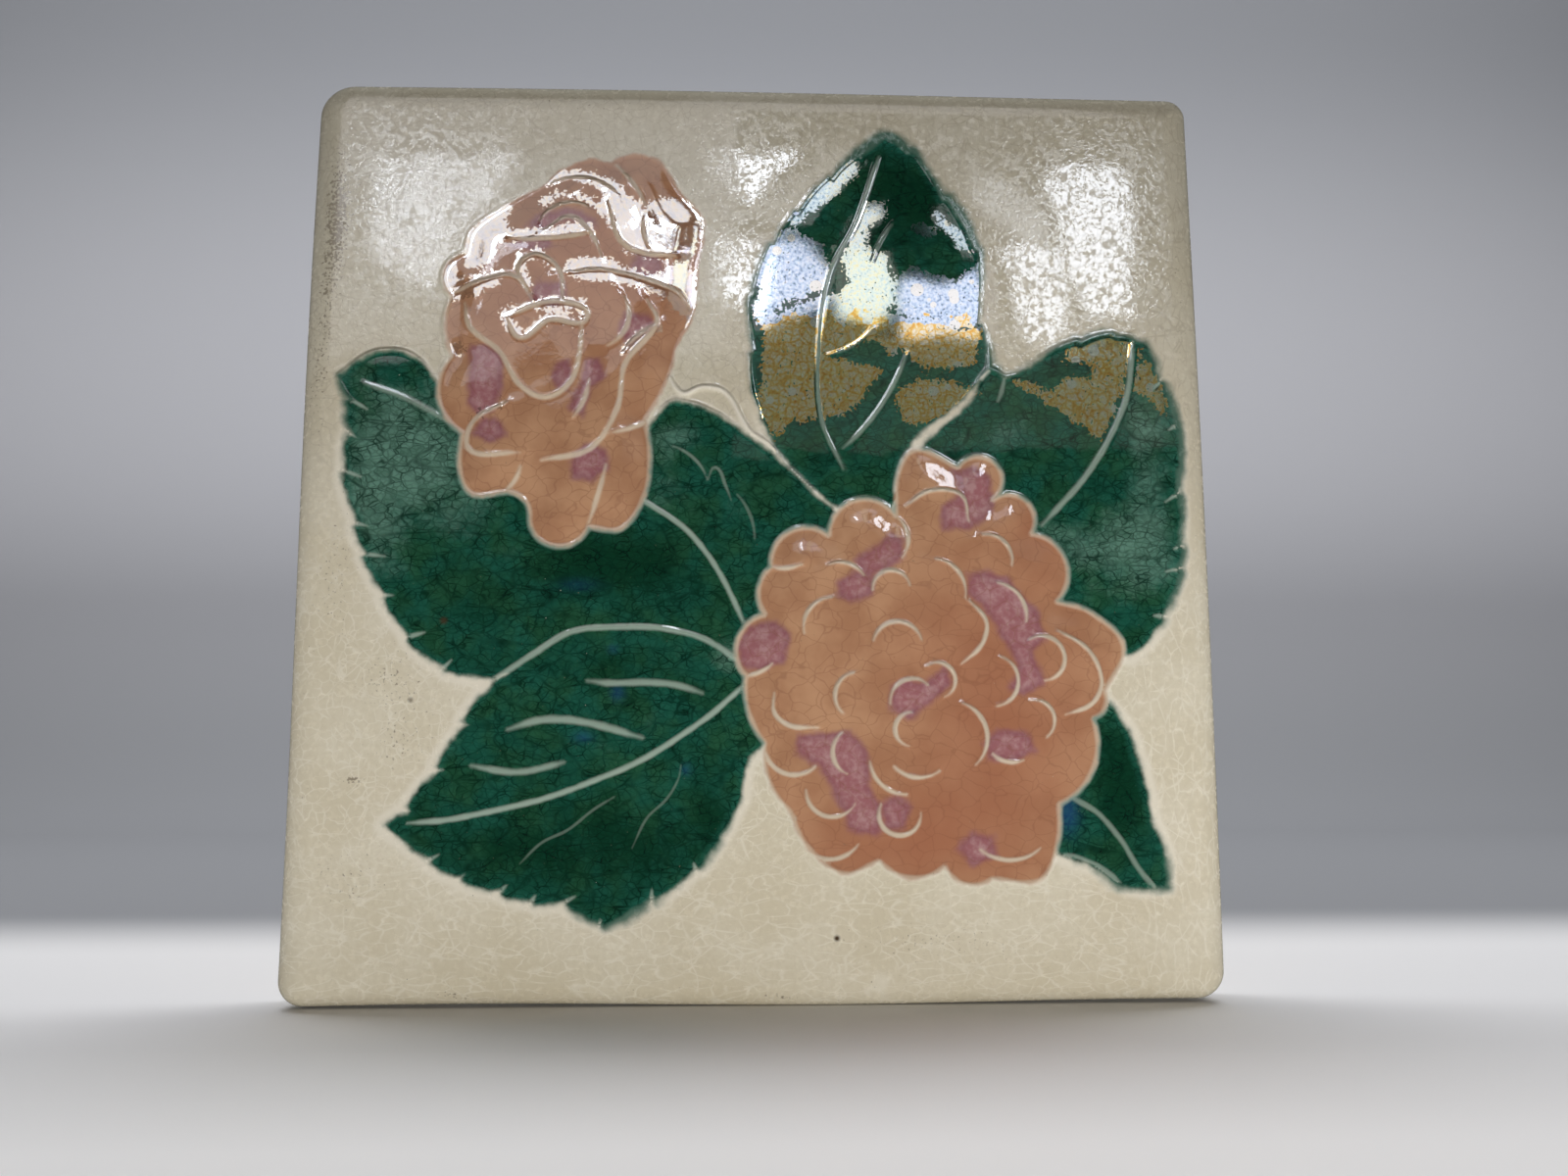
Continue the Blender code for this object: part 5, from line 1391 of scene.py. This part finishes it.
    # The cracks are real crazing. Their pale colour low down is a painted highlight, and higher up they take
    # their own darker colour.
    crack_tone_and_highlight = add(
        tree, "ShaderNodeMix", {FACTOR: high_up, UNDER: CREAM_CRACK_HIGHLIGHT, OVER: CREAM_CRACK}, MIXED, **COLOURS
    )
    cream = add(tree, "ShaderNodeMix", {FACTOR: share, UNDER: cream, OVER: crack_tone_and_highlight}, MIXED, **COLOURS)

    # The raised edge of the low leaves stays paler than the ground, and the green bleeds onto the cream
    share = add(
        tree, "ShaderNodeMapRange", {"Value": up, "From Min": 26.0, "From Max": 8.0, "To Max": 0.8}, **SOFT
    )
    halo = add(
        tree, "ShaderNodeMapRange", {"Value": leaf, "From Min": -2.0, "From Max": -0.8, "To Max": share}, **SOFT
    )
    ground = add(tree, "ShaderNodeMix", {FACTOR: halo, UNDER: cream, OVER: CREAM_RIM}, MIXED, **COLOURS)
    reach = add(tree, "ShaderNodeMath", {0: waver, 1: 1.8, 2: leaf}, operation="MULTIPLY_ADD")
    reach = add(tree, "ShaderNodeMath", {0: reach, 1: smoke}, operation="ADD")
    share = add(
        tree, "ShaderNodeMapRange", {"Value": reach, "From Min": -0.7, "From Max": 1.1, "To Max": 0.9}, **SOFT
    )
    ground = add(tree, "ShaderNodeMix", {FACTOR: share, UNDER: ground, OVER: TEAL_BLEED}, MIXED, **COLOURS)

    # Leaf green, thin and grey or pooled and nearly black, with bluer and yellower clouds and a teal border
    thick = add(tree, "ShaderNodeMath", {0: mottle, 1: 0.5, 2: pool}, operation="MULTIPLY_ADD")
    thick = add(tree, "ShaderNodeMath", {0: cloud, 1: 1.2, 2: thick}, operation="MULTIPLY_ADD")
    thick = add(tree, "ShaderNodeMath", {0: run, 1: 0.5, 2: thick}, operation="MULTIPLY_ADD")
    cells = crazed(tree, place, GREEN_NET)
    cell = add(tree, "ShaderNodeTexVoronoi", {"Vector": cells, "Scale": 1 / GREEN_NET[0]}, "Color")
    cell = add(tree, "ShaderNodeSeparateColor", {"Color": cell}, "Red")
    green = LEAF_GREEN
    for value, start, end, most, over in (
        (tint, 0.36, 0.62, 1.0, LEAF_BLUE_GREEN),
        (thick, 1.0, 0.0, 1.0, LEAF_TEAL),
        (thick, 1.0, 1.9, 0.9, LEAF_DARK),
        (cell, 0.3, 1.0, 0.30, LEAF_DARK),
        (leaf, 1.9, 0.3, 0.45, LEAF_FRINGE),
    ):
        share = add(
            tree, "ShaderNodeMapRange",
            {"Value": value, "From Min": start, "From Max": end, "To Max": most}, **SOFT,
        )
        green = add(tree, "ShaderNodeMix", {FACTOR: share, UNDER: green, OVER: over}, MIXED, **COLOURS)
    fading = add(
        tree, "ShaderNodeMapRange",
        {"Value": brush, "From Min": 0.3, "From Max": 0.65, "To Min": 0.25, "To Max": 0.90},
    )
    green_cracks = crazing(tree, cells, GREEN_NET)
    fine_cracks = crazing(tree, crazed(tree, place, FINE_GREEN_NET), FINE_GREEN_NET)
    fine_cracks = add(tree, "ShaderNodeMath", {0: fine_cracks, 1: 0.5}, operation="MULTIPLY")
    long_cracks = crazing(tree, crazed(tree, place, LONG_GREEN_NET), LONG_GREEN_NET)
    for net in (fine_cracks, long_cracks):
        green_cracks = add(tree, "ShaderNodeMath", {0: green_cracks, 1: net}, operation="MAXIMUM")
    green_cracks = add(tree, "ShaderNodeMath", {0: green_cracks, 1: fading}, operation="MULTIPLY")
    green = add(
        tree, "ShaderNodeMix", {FACTOR: green_cracks, UNDER: green, OVER: LEAF_CRACK}, MIXED, **COLOURS
    )
    share = add(tree, "ShaderNodeMath", {0: cobalt, 1: 0.45}, operation="MULTIPLY")
    green = add(tree, "ShaderNodeMix", {FACTOR: share, UNDER: green, OVER: COBALT}, MIXED, **COLOURS)
    ragged = add(tree, "ShaderNodeMath", {0: waver, 1: 1.4, 2: leaf}, operation="MULTIPLY_ADD")
    on_leaf = add(tree, "ShaderNodeMapRange", {"Value": ragged, "From Min": -0.25, "From Max": 0.7}, **SOFT)
    colour = add(tree, "ShaderNodeMix", {FACTOR: on_leaf, UNDER: ground, OVER: green}, MIXED, **COLOURS)

    # Coral blossoms with plum painted over them
    share = add(tree, "ShaderNodeMapRange", {"Value": cloud, "From Min": 0.3, "From Max": 0.7}, **SOFT)
    coral = add(tree, "ShaderNodeMix", {FACTOR: share, UNDER: CORAL_DEEP, OVER: CORAL}, MIXED, **COLOURS)
    coral = add(tree, "ShaderNodeMix", {FACTOR: blush, UNDER: coral, OVER: CORAL_RED}, MIXED, **COLOURS)
    dabs = add(tree, "ShaderNodeMath", {0: brush, 1: mottle}, operation="ADD")
    share = add(
        tree, "ShaderNodeMapRange", {"Value": dabs, "From Min": 0.8, "From Max": 1.3, "To Max": 0.8}, **SOFT
    )
    plum_colour = add(tree, "ShaderNodeMix", {FACTOR: share, UNDER: PLUM, OVER: PLUM_PALE}, MIXED, **COLOURS)
    share = add(
        tree, "ShaderNodeMapRange", {"Value": plum, "From Min": 1.5, "From Max": 0.2, "To Max": 0.6}, **SOFT
    )
    plum_colour = add(
        tree, "ShaderNodeMix", {FACTOR: share, UNDER: plum_colour, OVER: PLUM_DEEP}, MIXED, **COLOURS
    )
    ragged = add(tree, "ShaderNodeMath", {0: waver, 1: 2.0, 2: plum}, operation="MULTIPLY_ADD")
    share = add(tree, "ShaderNodeMapRange", {"Value": ragged, "From Min": -0.8, "From Max": 0.7}, **SOFT)
    petal = add(tree, "ShaderNodeMix", {FACTOR: share, UNDER: coral, OVER: plum_colour}, MIXED, **COLOURS)
    coral_cracks = crazing(tree, crazed(tree, place, CORAL_NET), CORAL_NET)
    share = add(tree, "ShaderNodeMath", {0: coral_cracks, 1: 0.35}, operation="MULTIPLY")
    petal = add(tree, "ShaderNodeMix", {FACTOR: share, UNDER: petal, OVER: CORAL_CRACK}, MIXED, **COLOURS)
    ragged = add(tree, "ShaderNodeMath", {0: waver, 1: 1.4, 2: blossom}, operation="MULTIPLY_ADD")
    on_blossom = add(
        tree, "ShaderNodeMapRange", {"Value": ragged, "From Min": -0.45, "From Max": 0.35}, **SOFT
    )
    colour = add(tree, "ShaderNodeMix", {FACTOR: on_blossom, UNDER: colour, OVER: petal}, MIXED, **COLOURS)

    # The glaze draws off the raised lines and leaves them pale
    crest_colour = add(
        tree, "ShaderNodeMix", {FACTOR: on_leaf, UNDER: CREAM_RIM, OVER: CREST_ON_LEAF}, MIXED, **COLOURS
    )
    crest_colour = add(
        tree, "ShaderNodeMix",
        {FACTOR: on_blossom, UNDER: crest_colour, OVER: CREST_ON_BLOSSOM}, MIXED, **COLOURS,
    )
    worn = add(tree, "ShaderNodeMath", {0: waver, 1: 0.45, 2: line}, operation="MULTIPLY_ADD")
    crest = add(
        tree, "ShaderNodeMapRange", {"Value": worn, "From Min": 0.22, "From Max": 0.86, "To Max": 0.95}, **SOFT
    )
    crest = add(tree, "ShaderNodeMath", {0: crest, 1: pale}, operation="MULTIPLY")
    colour = add(tree, "ShaderNodeMix", {FACTOR: crest, UNDER: colour, OVER: crest_colour}, MIXED, **COLOURS)

    # Dark kiln specks and pale pinholes
    for spacing, largest, left_out, over in FLECKS:
        fleck = add(tree, "ShaderNodeTexVoronoi", {"Vector": place, "Scale": 1 / spacing}, "Distance")
        chance = add(tree, "ShaderNodeSeparateColor", {"Color": fleck.node.outputs["Color"]}, "Red")
        size = add(tree, "ShaderNodeMapRange", {"Value": chance, "From Min": left_out, "To Max": largest})
        fleck = add(tree, "ShaderNodeMath", {0: size, 1: fleck}, operation="SUBTRACT")
        fleck = add(tree, "ShaderNodeMapRange", {"Value": fleck, "From Max": 0.02, "To Max": 0.8}, **SOFT)
        colour = add(tree, "ShaderNodeMix", {FACTOR: fleck, UNDER: colour, OVER: over}, MIXED, **COLOURS)
    colour = add(tree, "ShaderNodeMix", {FACTOR: speck, UNDER: colour, OVER: KILN_SPECK}, MIXED, **COLOURS)

    # Grime sits in specks and crumbs in the glaze's pits
    grit = add(tree, "ShaderNodeTexNoise", {"Vector": place, "Scale": 1 / GRIT_SIZE, "Detail": 2.0})
    gritty = add(tree, "ShaderNodeMath", {0: grime, 1: 0.35, 2: grit}, operation="MULTIPLY_ADD")
    gritty = add(
        tree, "ShaderNodeMapRange", {"Value": gritty, "From Min": 0.70, "From Max": 0.85, "To Max": 0.8}, **SOFT
    )
    colour = add(tree, "ShaderNodeMix", {FACTOR: gritty, UNDER: colour, OVER: GRIME}, MIXED, **COLOURS)
    tree.links.new(colour, shader.inputs["Base Color"])

    # The weathered lustre on the upper leaves: a film some tens of nanometres thick that splits the light into
    # colours. It is violet to cream where a window is mirrored, brown gold below, and broken up by a fine
    # grain. The left blossom has a thinner one, a bright skin.
    grain = add(tree, "ShaderNodeTexNoise", {"Vector": place, "Scale": 1 / LUSTRE_GRAIN, "Detail": 3.0})
    gold = add(tree, "ShaderNodeMath", {0: grain, 1: GOLD_GRAIN, 2: GOLD_FILM}, operation="MULTIPLY_ADD")
    veins = crazing(tree, crazed(tree, place, LUSTRE_NET), LUSTRE_NET)
    gold = add(tree, "ShaderNodeMath", {0: veins, 1: GOLD_VEIN, 2: gold}, operation="MULTIPLY_ADD")
    off_middle = add(tree, "ShaderNodeMath", {0: across, 1: PEARL_MIDDLE}, operation="SUBTRACT")
    off_middle = add(tree, "ShaderNodeMath", {0: off_middle}, operation="ABSOLUTE")
    pearl = add(
        tree, "ShaderNodeMapRange",
        {"Value": off_middle, "From Min": 4.0, "From Max": 7.0, "To Min": PEARL_CREAM, "To Max": PEARL_VIOLET},
    )
    pearl = add(tree, "ShaderNodeMath", {0: grain, 1: PEARL_GRAIN, 2: pearl}, operation="MULTIPLY_ADD")
    high = add(tree, "ShaderNodeMath", {0: waver, 1: 11.0, 2: up}, operation="MULTIPLY_ADD")
    high = add(tree, "ShaderNodeMath", {0: high, 1: PEARL_START}, operation="GREATER_THAN")
    film = add(tree, "ShaderNodeMapRange", {"Value": high, "To Min": gold, "To Max": pearl})
    blister = add(tree, "ShaderNodeTexVoronoi", {"Vector": place, "Scale": 1 / BLISTER_SPACING}, "Distance")
    chance = add(tree, "ShaderNodeSeparateColor", {"Color": blister.node.outputs["Color"]}, "Red")
    blister_reach = add(tree, "ShaderNodeMath", {0: chance, 1: BLISTER_SIZE}, operation="MULTIPLY")
    blister = add(tree, "ShaderNodeMath", {0: blister, 1: blister_reach}, operation="LESS_THAN")
    film = add(tree, "ShaderNodeMapRange", {"Value": blister, "To Min": film, "To Max": BLISTER_FILM})
    on_petal = add(tree, "ShaderNodeMath", {0: blossom, 1: 0.0}, operation="GREATER_THAN")
    skin = add(tree, "ShaderNodeMath", {0: grain, 1: PEARL_GRAIN, 2: SKIN_FILM}, operation="MULTIPLY_ADD")
    film = add(tree, "ShaderNodeMapRange", {"Value": on_petal, "To Min": film, "To Max": skin})
    patchy = add(tree, "ShaderNodeMath", {0: waver, 1: 2.4, 2: film_depth}, operation="MULTIPLY_ADD")
    patchy = add(tree, "ShaderNodeMath", {0: grain, 1: 3.6, 2: patchy}, operation="MULTIPLY_ADD")
    coated = add(tree, "ShaderNodeMath", {0: patchy, 1: 1.8}, operation="GREATER_THAN")
    inside = add(tree, "ShaderNodeMath", {0: leaf, 1: 0.2}, operation="GREATER_THAN")
    inside = add(tree, "ShaderNodeMath", {0: inside, 1: on_petal}, operation="MAXIMUM")
    flaked = add(tree, "ShaderNodeTexNoise", {"Vector": place, "Scale": 1 / FLAKE_SIZE, "Detail": 3.0})
    flaked = add(tree, "ShaderNodeMath", {0: flaked, 1: FLAKED}, operation="GREATER_THAN")
    covered = add(tree, "ShaderNodeMath", {0: crest, 1: 0.3}, operation="LESS_THAN")
    flaked = add(tree, "ShaderNodeMath", {0: flaked, 1: on_petal}, operation="MAXIMUM")
    for part in (inside, flaked, covered):
        coated = add(tree, "ShaderNodeMath", {0: coated, 1: part}, operation="MULTIPLY")
    film = add(tree, "ShaderNodeMath", {0: film, 1: coated}, operation="MULTIPLY")
    tree.links.new(film, shader.inputs["Thin Film Thickness"])
    shader.inputs["Thin Film IOR"].default_value = FILM_IOR

    # Gloss: smooth where it ran, duller in spots of the cream ground, on grime and on the weathered film
    dull = add(tree, "ShaderNodeTexNoise", {"Vector": place, "Scale": 1 / DULL_SIZE, "Detail": 3.0})
    dull = add(
        tree, "ShaderNodeMapRange",
        {"Value": dull, "From Min": 0.51, "From Max": 0.63, "To Max": DULL_ROUGHNESS},
    )
    for share in (on_leaf, on_blossom):
        dull = add(tree, "ShaderNodeMapRange", {"Value": share, "To Min": dull, "To Max": 0.0})
    rough = add(tree, "ShaderNodeMath", {0: gritty, 1: 0.35, 2: dull}, operation="MULTIPLY_ADD")
    rough = add(tree, "ShaderNodeMath", {0: rough, 1: GLAZE_ROUGHNESS}, operation="ADD")
    rough = add(tree, "ShaderNodeMath", {0: coated, 1: FILM_ROUGHNESS, 2: rough}, operation="MULTIPLY_ADD")
    tree.links.new(rough, shader.inputs["Roughness"])
    shader.inputs["IOR"].default_value = GLAZE_IOR

    # Orange peel, stronger on the blossoms, and pores on the cream, as heights in millimetres
    peel = add(tree, "ShaderNodeTexNoise", {"Vector": place, "Scale": 1 / PEEL_SIZE, "Detail": 2.0})
    peel_height, pore_depth = PEEL_HEIGHT, -PORE_DEPTH
    for field, height in ((leaf, LEAF_PEEL_HEIGHT), (blossom, BLOSSOM_PEEL_HEIGHT)):
        share = add(tree, "ShaderNodeMapRange", {"Value": field, "From Min": -0.4, "From Max": 0.5})
        peel_height = add(
            tree, "ShaderNodeMapRange", {"Value": share, "To Min": peel_height, "To Max": height}
        )
        pore_depth = add(tree, "ShaderNodeMapRange", {"Value": share, "To Min": pore_depth, "To Max": 0.0})
    relief = add(tree, "ShaderNodeMath", {0: peel, 1: peel_height}, operation="MULTIPLY")
    pores = add(tree, "ShaderNodeTexNoise", {"Vector": place, "Scale": 1 / PORE_SIZE, "Detail": 3.0})
    pores = add(tree, "ShaderNodeMapRange", {"Value": pores, "From Min": 0.52, "From Max": 0.62}, **SOFT)
    relief = add(tree, "ShaderNodeMath", {0: pores, 1: pore_depth, 2: relief}, operation="MULTIPLY_ADD")
    bump = add(tree, "ShaderNodeBump", {"Height": relief, "Strength": 1.0, "Distance": 1 / MILLIMETRES})
    tree.links.new(bump, shader.inputs["Normal"])
    return material


def biscuit_clay():
    """Fired clay without glaze: chalky and matt, warm buff with darker flashing and fine grog in it."""
    material = bpy.data.materials.new("biscuit_clay")
    material.use_nodes = True
    tree = material.node_tree
    shader = tree.nodes["Principled BSDF"]
    spot = add(tree, "ShaderNodeTexCoord", {}, "Object")
    place = add(tree, "ShaderNodeVectorMath", {0: spot, "Scale": MILLIMETRES}, operation="SCALE")
    cloud = add(
        tree, "ShaderNodeTexNoise",
        {"Vector": place, "Scale": 1 / CLAY_CLOUD_SIZE, "Detail": 5.0, "Roughness": 0.6},
    )
    cloud = add(tree, "ShaderNodeMapRange", {"Value": cloud, "From Min": 0.35, "From Max": 0.65})
    grog = add(tree, "ShaderNodeTexNoise", {"Vector": place, "Scale": 1 / GROG_SIZE, "Detail": 3.0})
    colour = add(
        tree, "ShaderNodeMix", {FACTOR: cloud, UNDER: BISCUIT_DEEP, OVER: BISCUIT}, MIXED, **COLOURS
    )
    grains = add(
        tree, "ShaderNodeMapRange", {"Value": grog, "From Min": 0.62, "From Max": 0.75, "To Max": 0.5}
    )
    colour = add(tree, "ShaderNodeMix", {FACTOR: grains, UNDER: colour, OVER: GROG}, MIXED, **COLOURS)
    tree.links.new(colour, shader.inputs["Base Color"])
    shader.inputs["Roughness"].default_value = CLAY_ROUGHNESS
    height = add(tree, "ShaderNodeMath", {0: grog, 1: GROG_HEIGHT}, operation="MULTIPLY")
    bump = add(tree, "ShaderNodeBump", {"Height": height, "Strength": 1.0, "Distance": 1 / MILLIMETRES})
    tree.links.new(bump, shader.inputs["Normal"])
    return material


def dress_tile(relief):
    """The finely modelled tile in its glazes, in the place of the plain solid."""
    corners, faces, glazed, fields = tile_surface(relief)
    mesh = bpy.data.meshes.new("glazed_tile")
    mesh.from_pydata(corners.tolist(), [], faces)
    mesh.materials.append(glazed_earthenware())
    mesh.materials.append(biscuit_clay())
    mesh.polygons.foreach_set("material_index", [0 if number < glazed else 1 for number in range(len(faces))])
    mesh.polygons.foreach_set("use_smooth", [True] * len(faces))
    for name, values in fields.items():
        mesh.attributes.new(name, "FLOAT", "POINT").data.foreach_set("value", values.astype(np.float32))
    mesh.update()
    tile = bpy.data.objects.new("glazed_tile", mesh)
    bpy.context.collection.objects.link(tile)
    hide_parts("tile")
    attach(tile, "root")
    return tile


def studio_floor():
    """A pale paper sweep: the floor that the tile stands on, curved up into a backdrop, with painted shade and
    light graded over it.
    """
    standing = -TILE_HEIGHT / 2 - FLOOR_GAP
    profile = [(-FLOOR_FRONT, standing), (0.0, standing)]
    for turn in np.linspace(0, math.pi / 2, SWEEP_STEPS + 1):
        across = BACKDROP_AT - SWEEP_BEND * (1 - math.sin(turn))
        profile.append((across, standing + SWEEP_BEND * (1 - math.cos(turn))))
    profile.append((BACKDROP_AT, standing + BACKDROP_HEIGHT))
    corners = [(side * STAGE_HALF_WIDTH, y, z) for y, z in profile for side in (-1, 1)]
    faces = [(2 * i, 2 * i + 1, 2 * i + 3, 2 * i + 2) for i in range(len(profile) - 1)]
    mesh = bpy.data.meshes.new("studio_floor")
    mesh.from_pydata(corners, [], faces)
    mesh.polygons.foreach_set("use_smooth", [True] * len(faces))
    material = bpy.data.materials.new("matt_paper")
    material.use_nodes = True
    tree = material.node_tree
    shader = tree.nodes["Principled BSDF"]
    spot = add(tree, "ShaderNodeTexCoord", {}, "Object")
    depth = add(tree, "ShaderNodeSeparateXYZ", {"Vector": spot}, "Y")
    height = add(tree, "ShaderNodeSeparateXYZ", {"Vector": spot}, "Z")
    # Painted shade: the paper greys behind the tile and high up the backdrop, with a lighter painted band
    # between
    colour = PAPER
    for value, start, end, over in (
        (depth, 0.04, 0.10, PAPER_SHADE_BEHIND),
        (height, -0.06, 0.12, PAPER_LIT_MIDDLE),
        (height, 0.12, 0.42, PAPER_SHADE_HIGH),
    ):
        share = add(tree, "ShaderNodeMapRange", {"Value": value, "From Min": start, "From Max": end}, **SOFT)
        colour = add(tree, "ShaderNodeMix", {FACTOR: share, UNDER: colour, OVER: over}, MIXED, **COLOURS)
    tree.links.new(colour, shader.inputs["Base Color"])
    shader.inputs["Roughness"].default_value = PAPER_ROUGHNESS
    mesh.materials.append(material)
    floor = bpy.data.objects.new("studio_floor", mesh)
    bpy.context.collection.objects.link(floor)
    floor.visible_glossy = False


def lamp(name, place, target, size, radiance, tint):
    """A flat rectangular lamp that faces a target. It lights the scene and isn't mirrored in the gloss."""
    data = bpy.data.lights.new(name, "AREA")
    data.shape = "RECTANGLE"
    data.size, data.size_y = size
    data.energy = 4 * size[0] * size[1] * radiance
    data.color = linear(tint)[:3]
    made = bpy.data.objects.new(name, data)
    made.location = place
    made.rotation_euler = (Vector(target) - Vector(place)).to_track_quat("-Z", "Y").to_euler()
    made.visible_glossy = False
    bpy.context.collection.objects.link(made)


def window_pane(relief, name, radiance, tint, patch):
    """A lit pane, parallel to the face, that the camera sees mirrored in one patch of it."""
    patch = in_metres(patch)
    slopes = np.clip(relief.slopes(patch), -STEEPEST, STEEPEST)
    y = -TILE_THICKNESS - WINDOW_DISTANCE
    corners = []
    for (x, z), (rise_across, rise_up) in zip(patch.tolist(), slopes.tolist()):
        seen = Vector((x, -TILE_THICKNESS, z))
        ray = (seen - Vector(CAMERA_PLACE)).reflect(Vector((rise_across, 1.0, rise_up)).normalized())
        corners.append(seen + ray * (y - seen.y) / ray.y)
    mesh = bpy.data.meshes.new(name)
    mesh.from_pydata(corners, [], [tuple(range(len(corners)))])
    material = bpy.data.materials.new("lit_window")
    material.use_nodes = True
    tree = material.node_tree
    glow = add(tree, "ShaderNodeEmission", {"Color": linear(tint), "Strength": radiance})
    tree.links.new(glow, tree.nodes["Material Output"].inputs["Surface"])
    mesh.materials.append(material)
    pane = bpy.data.objects.new(name, mesh)
    bpy.context.collection.objects.link(pane)
    pane.visible_camera = False
    pane.visible_diffuse = False
    pane.visible_shadow = False


def studio(relief):
    """The floor, the lamps and the camera."""
    studio_floor()
    world = bpy.data.worlds.new("studio_air")
    world.use_nodes = True
    world.node_tree.nodes["Background"].inputs["Color"].default_value = linear(AIR)
    world.node_tree.nodes["Background"].inputs["Strength"].default_value = AIR_STRENGTH
    bpy.context.scene.world = world
    bpy.context.scene.view_settings.view_transform = "Standard"
    for number, (radiance, tint, patch) in enumerate(WINDOWS):
        window_pane(relief, f"window_pane_{number}", radiance, tint, patch)
    for name, place, target, size, radiance, tint in SOFTBOXES:
        lamp(name, place, target, size, radiance, tint)
    data = bpy.data.cameras.new("camera")
    data.lens = CAMERA_LENS
    data.sensor_width = CAMERA_SENSOR
    data.clip_start, data.clip_end = 0.01, 20.0
    camera = bpy.data.objects.new("camera", data)
    camera.location = CAMERA_PLACE
    camera.rotation_euler = (math.pi / 2 + CAMERA_PITCH, CAMERA_ROLL, -CAMERA_YAW)
    bpy.context.collection.objects.link(camera)
    bpy.context.scene.camera = camera


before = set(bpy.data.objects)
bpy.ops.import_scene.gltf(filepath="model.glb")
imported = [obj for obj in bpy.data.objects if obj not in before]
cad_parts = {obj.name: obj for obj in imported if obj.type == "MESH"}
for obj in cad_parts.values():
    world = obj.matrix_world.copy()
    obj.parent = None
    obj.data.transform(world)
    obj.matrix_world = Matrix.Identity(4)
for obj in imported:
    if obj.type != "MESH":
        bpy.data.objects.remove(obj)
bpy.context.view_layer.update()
ornament = Relief(STROKE_STEP)
dress_tile(ornament)
studio(ornament)
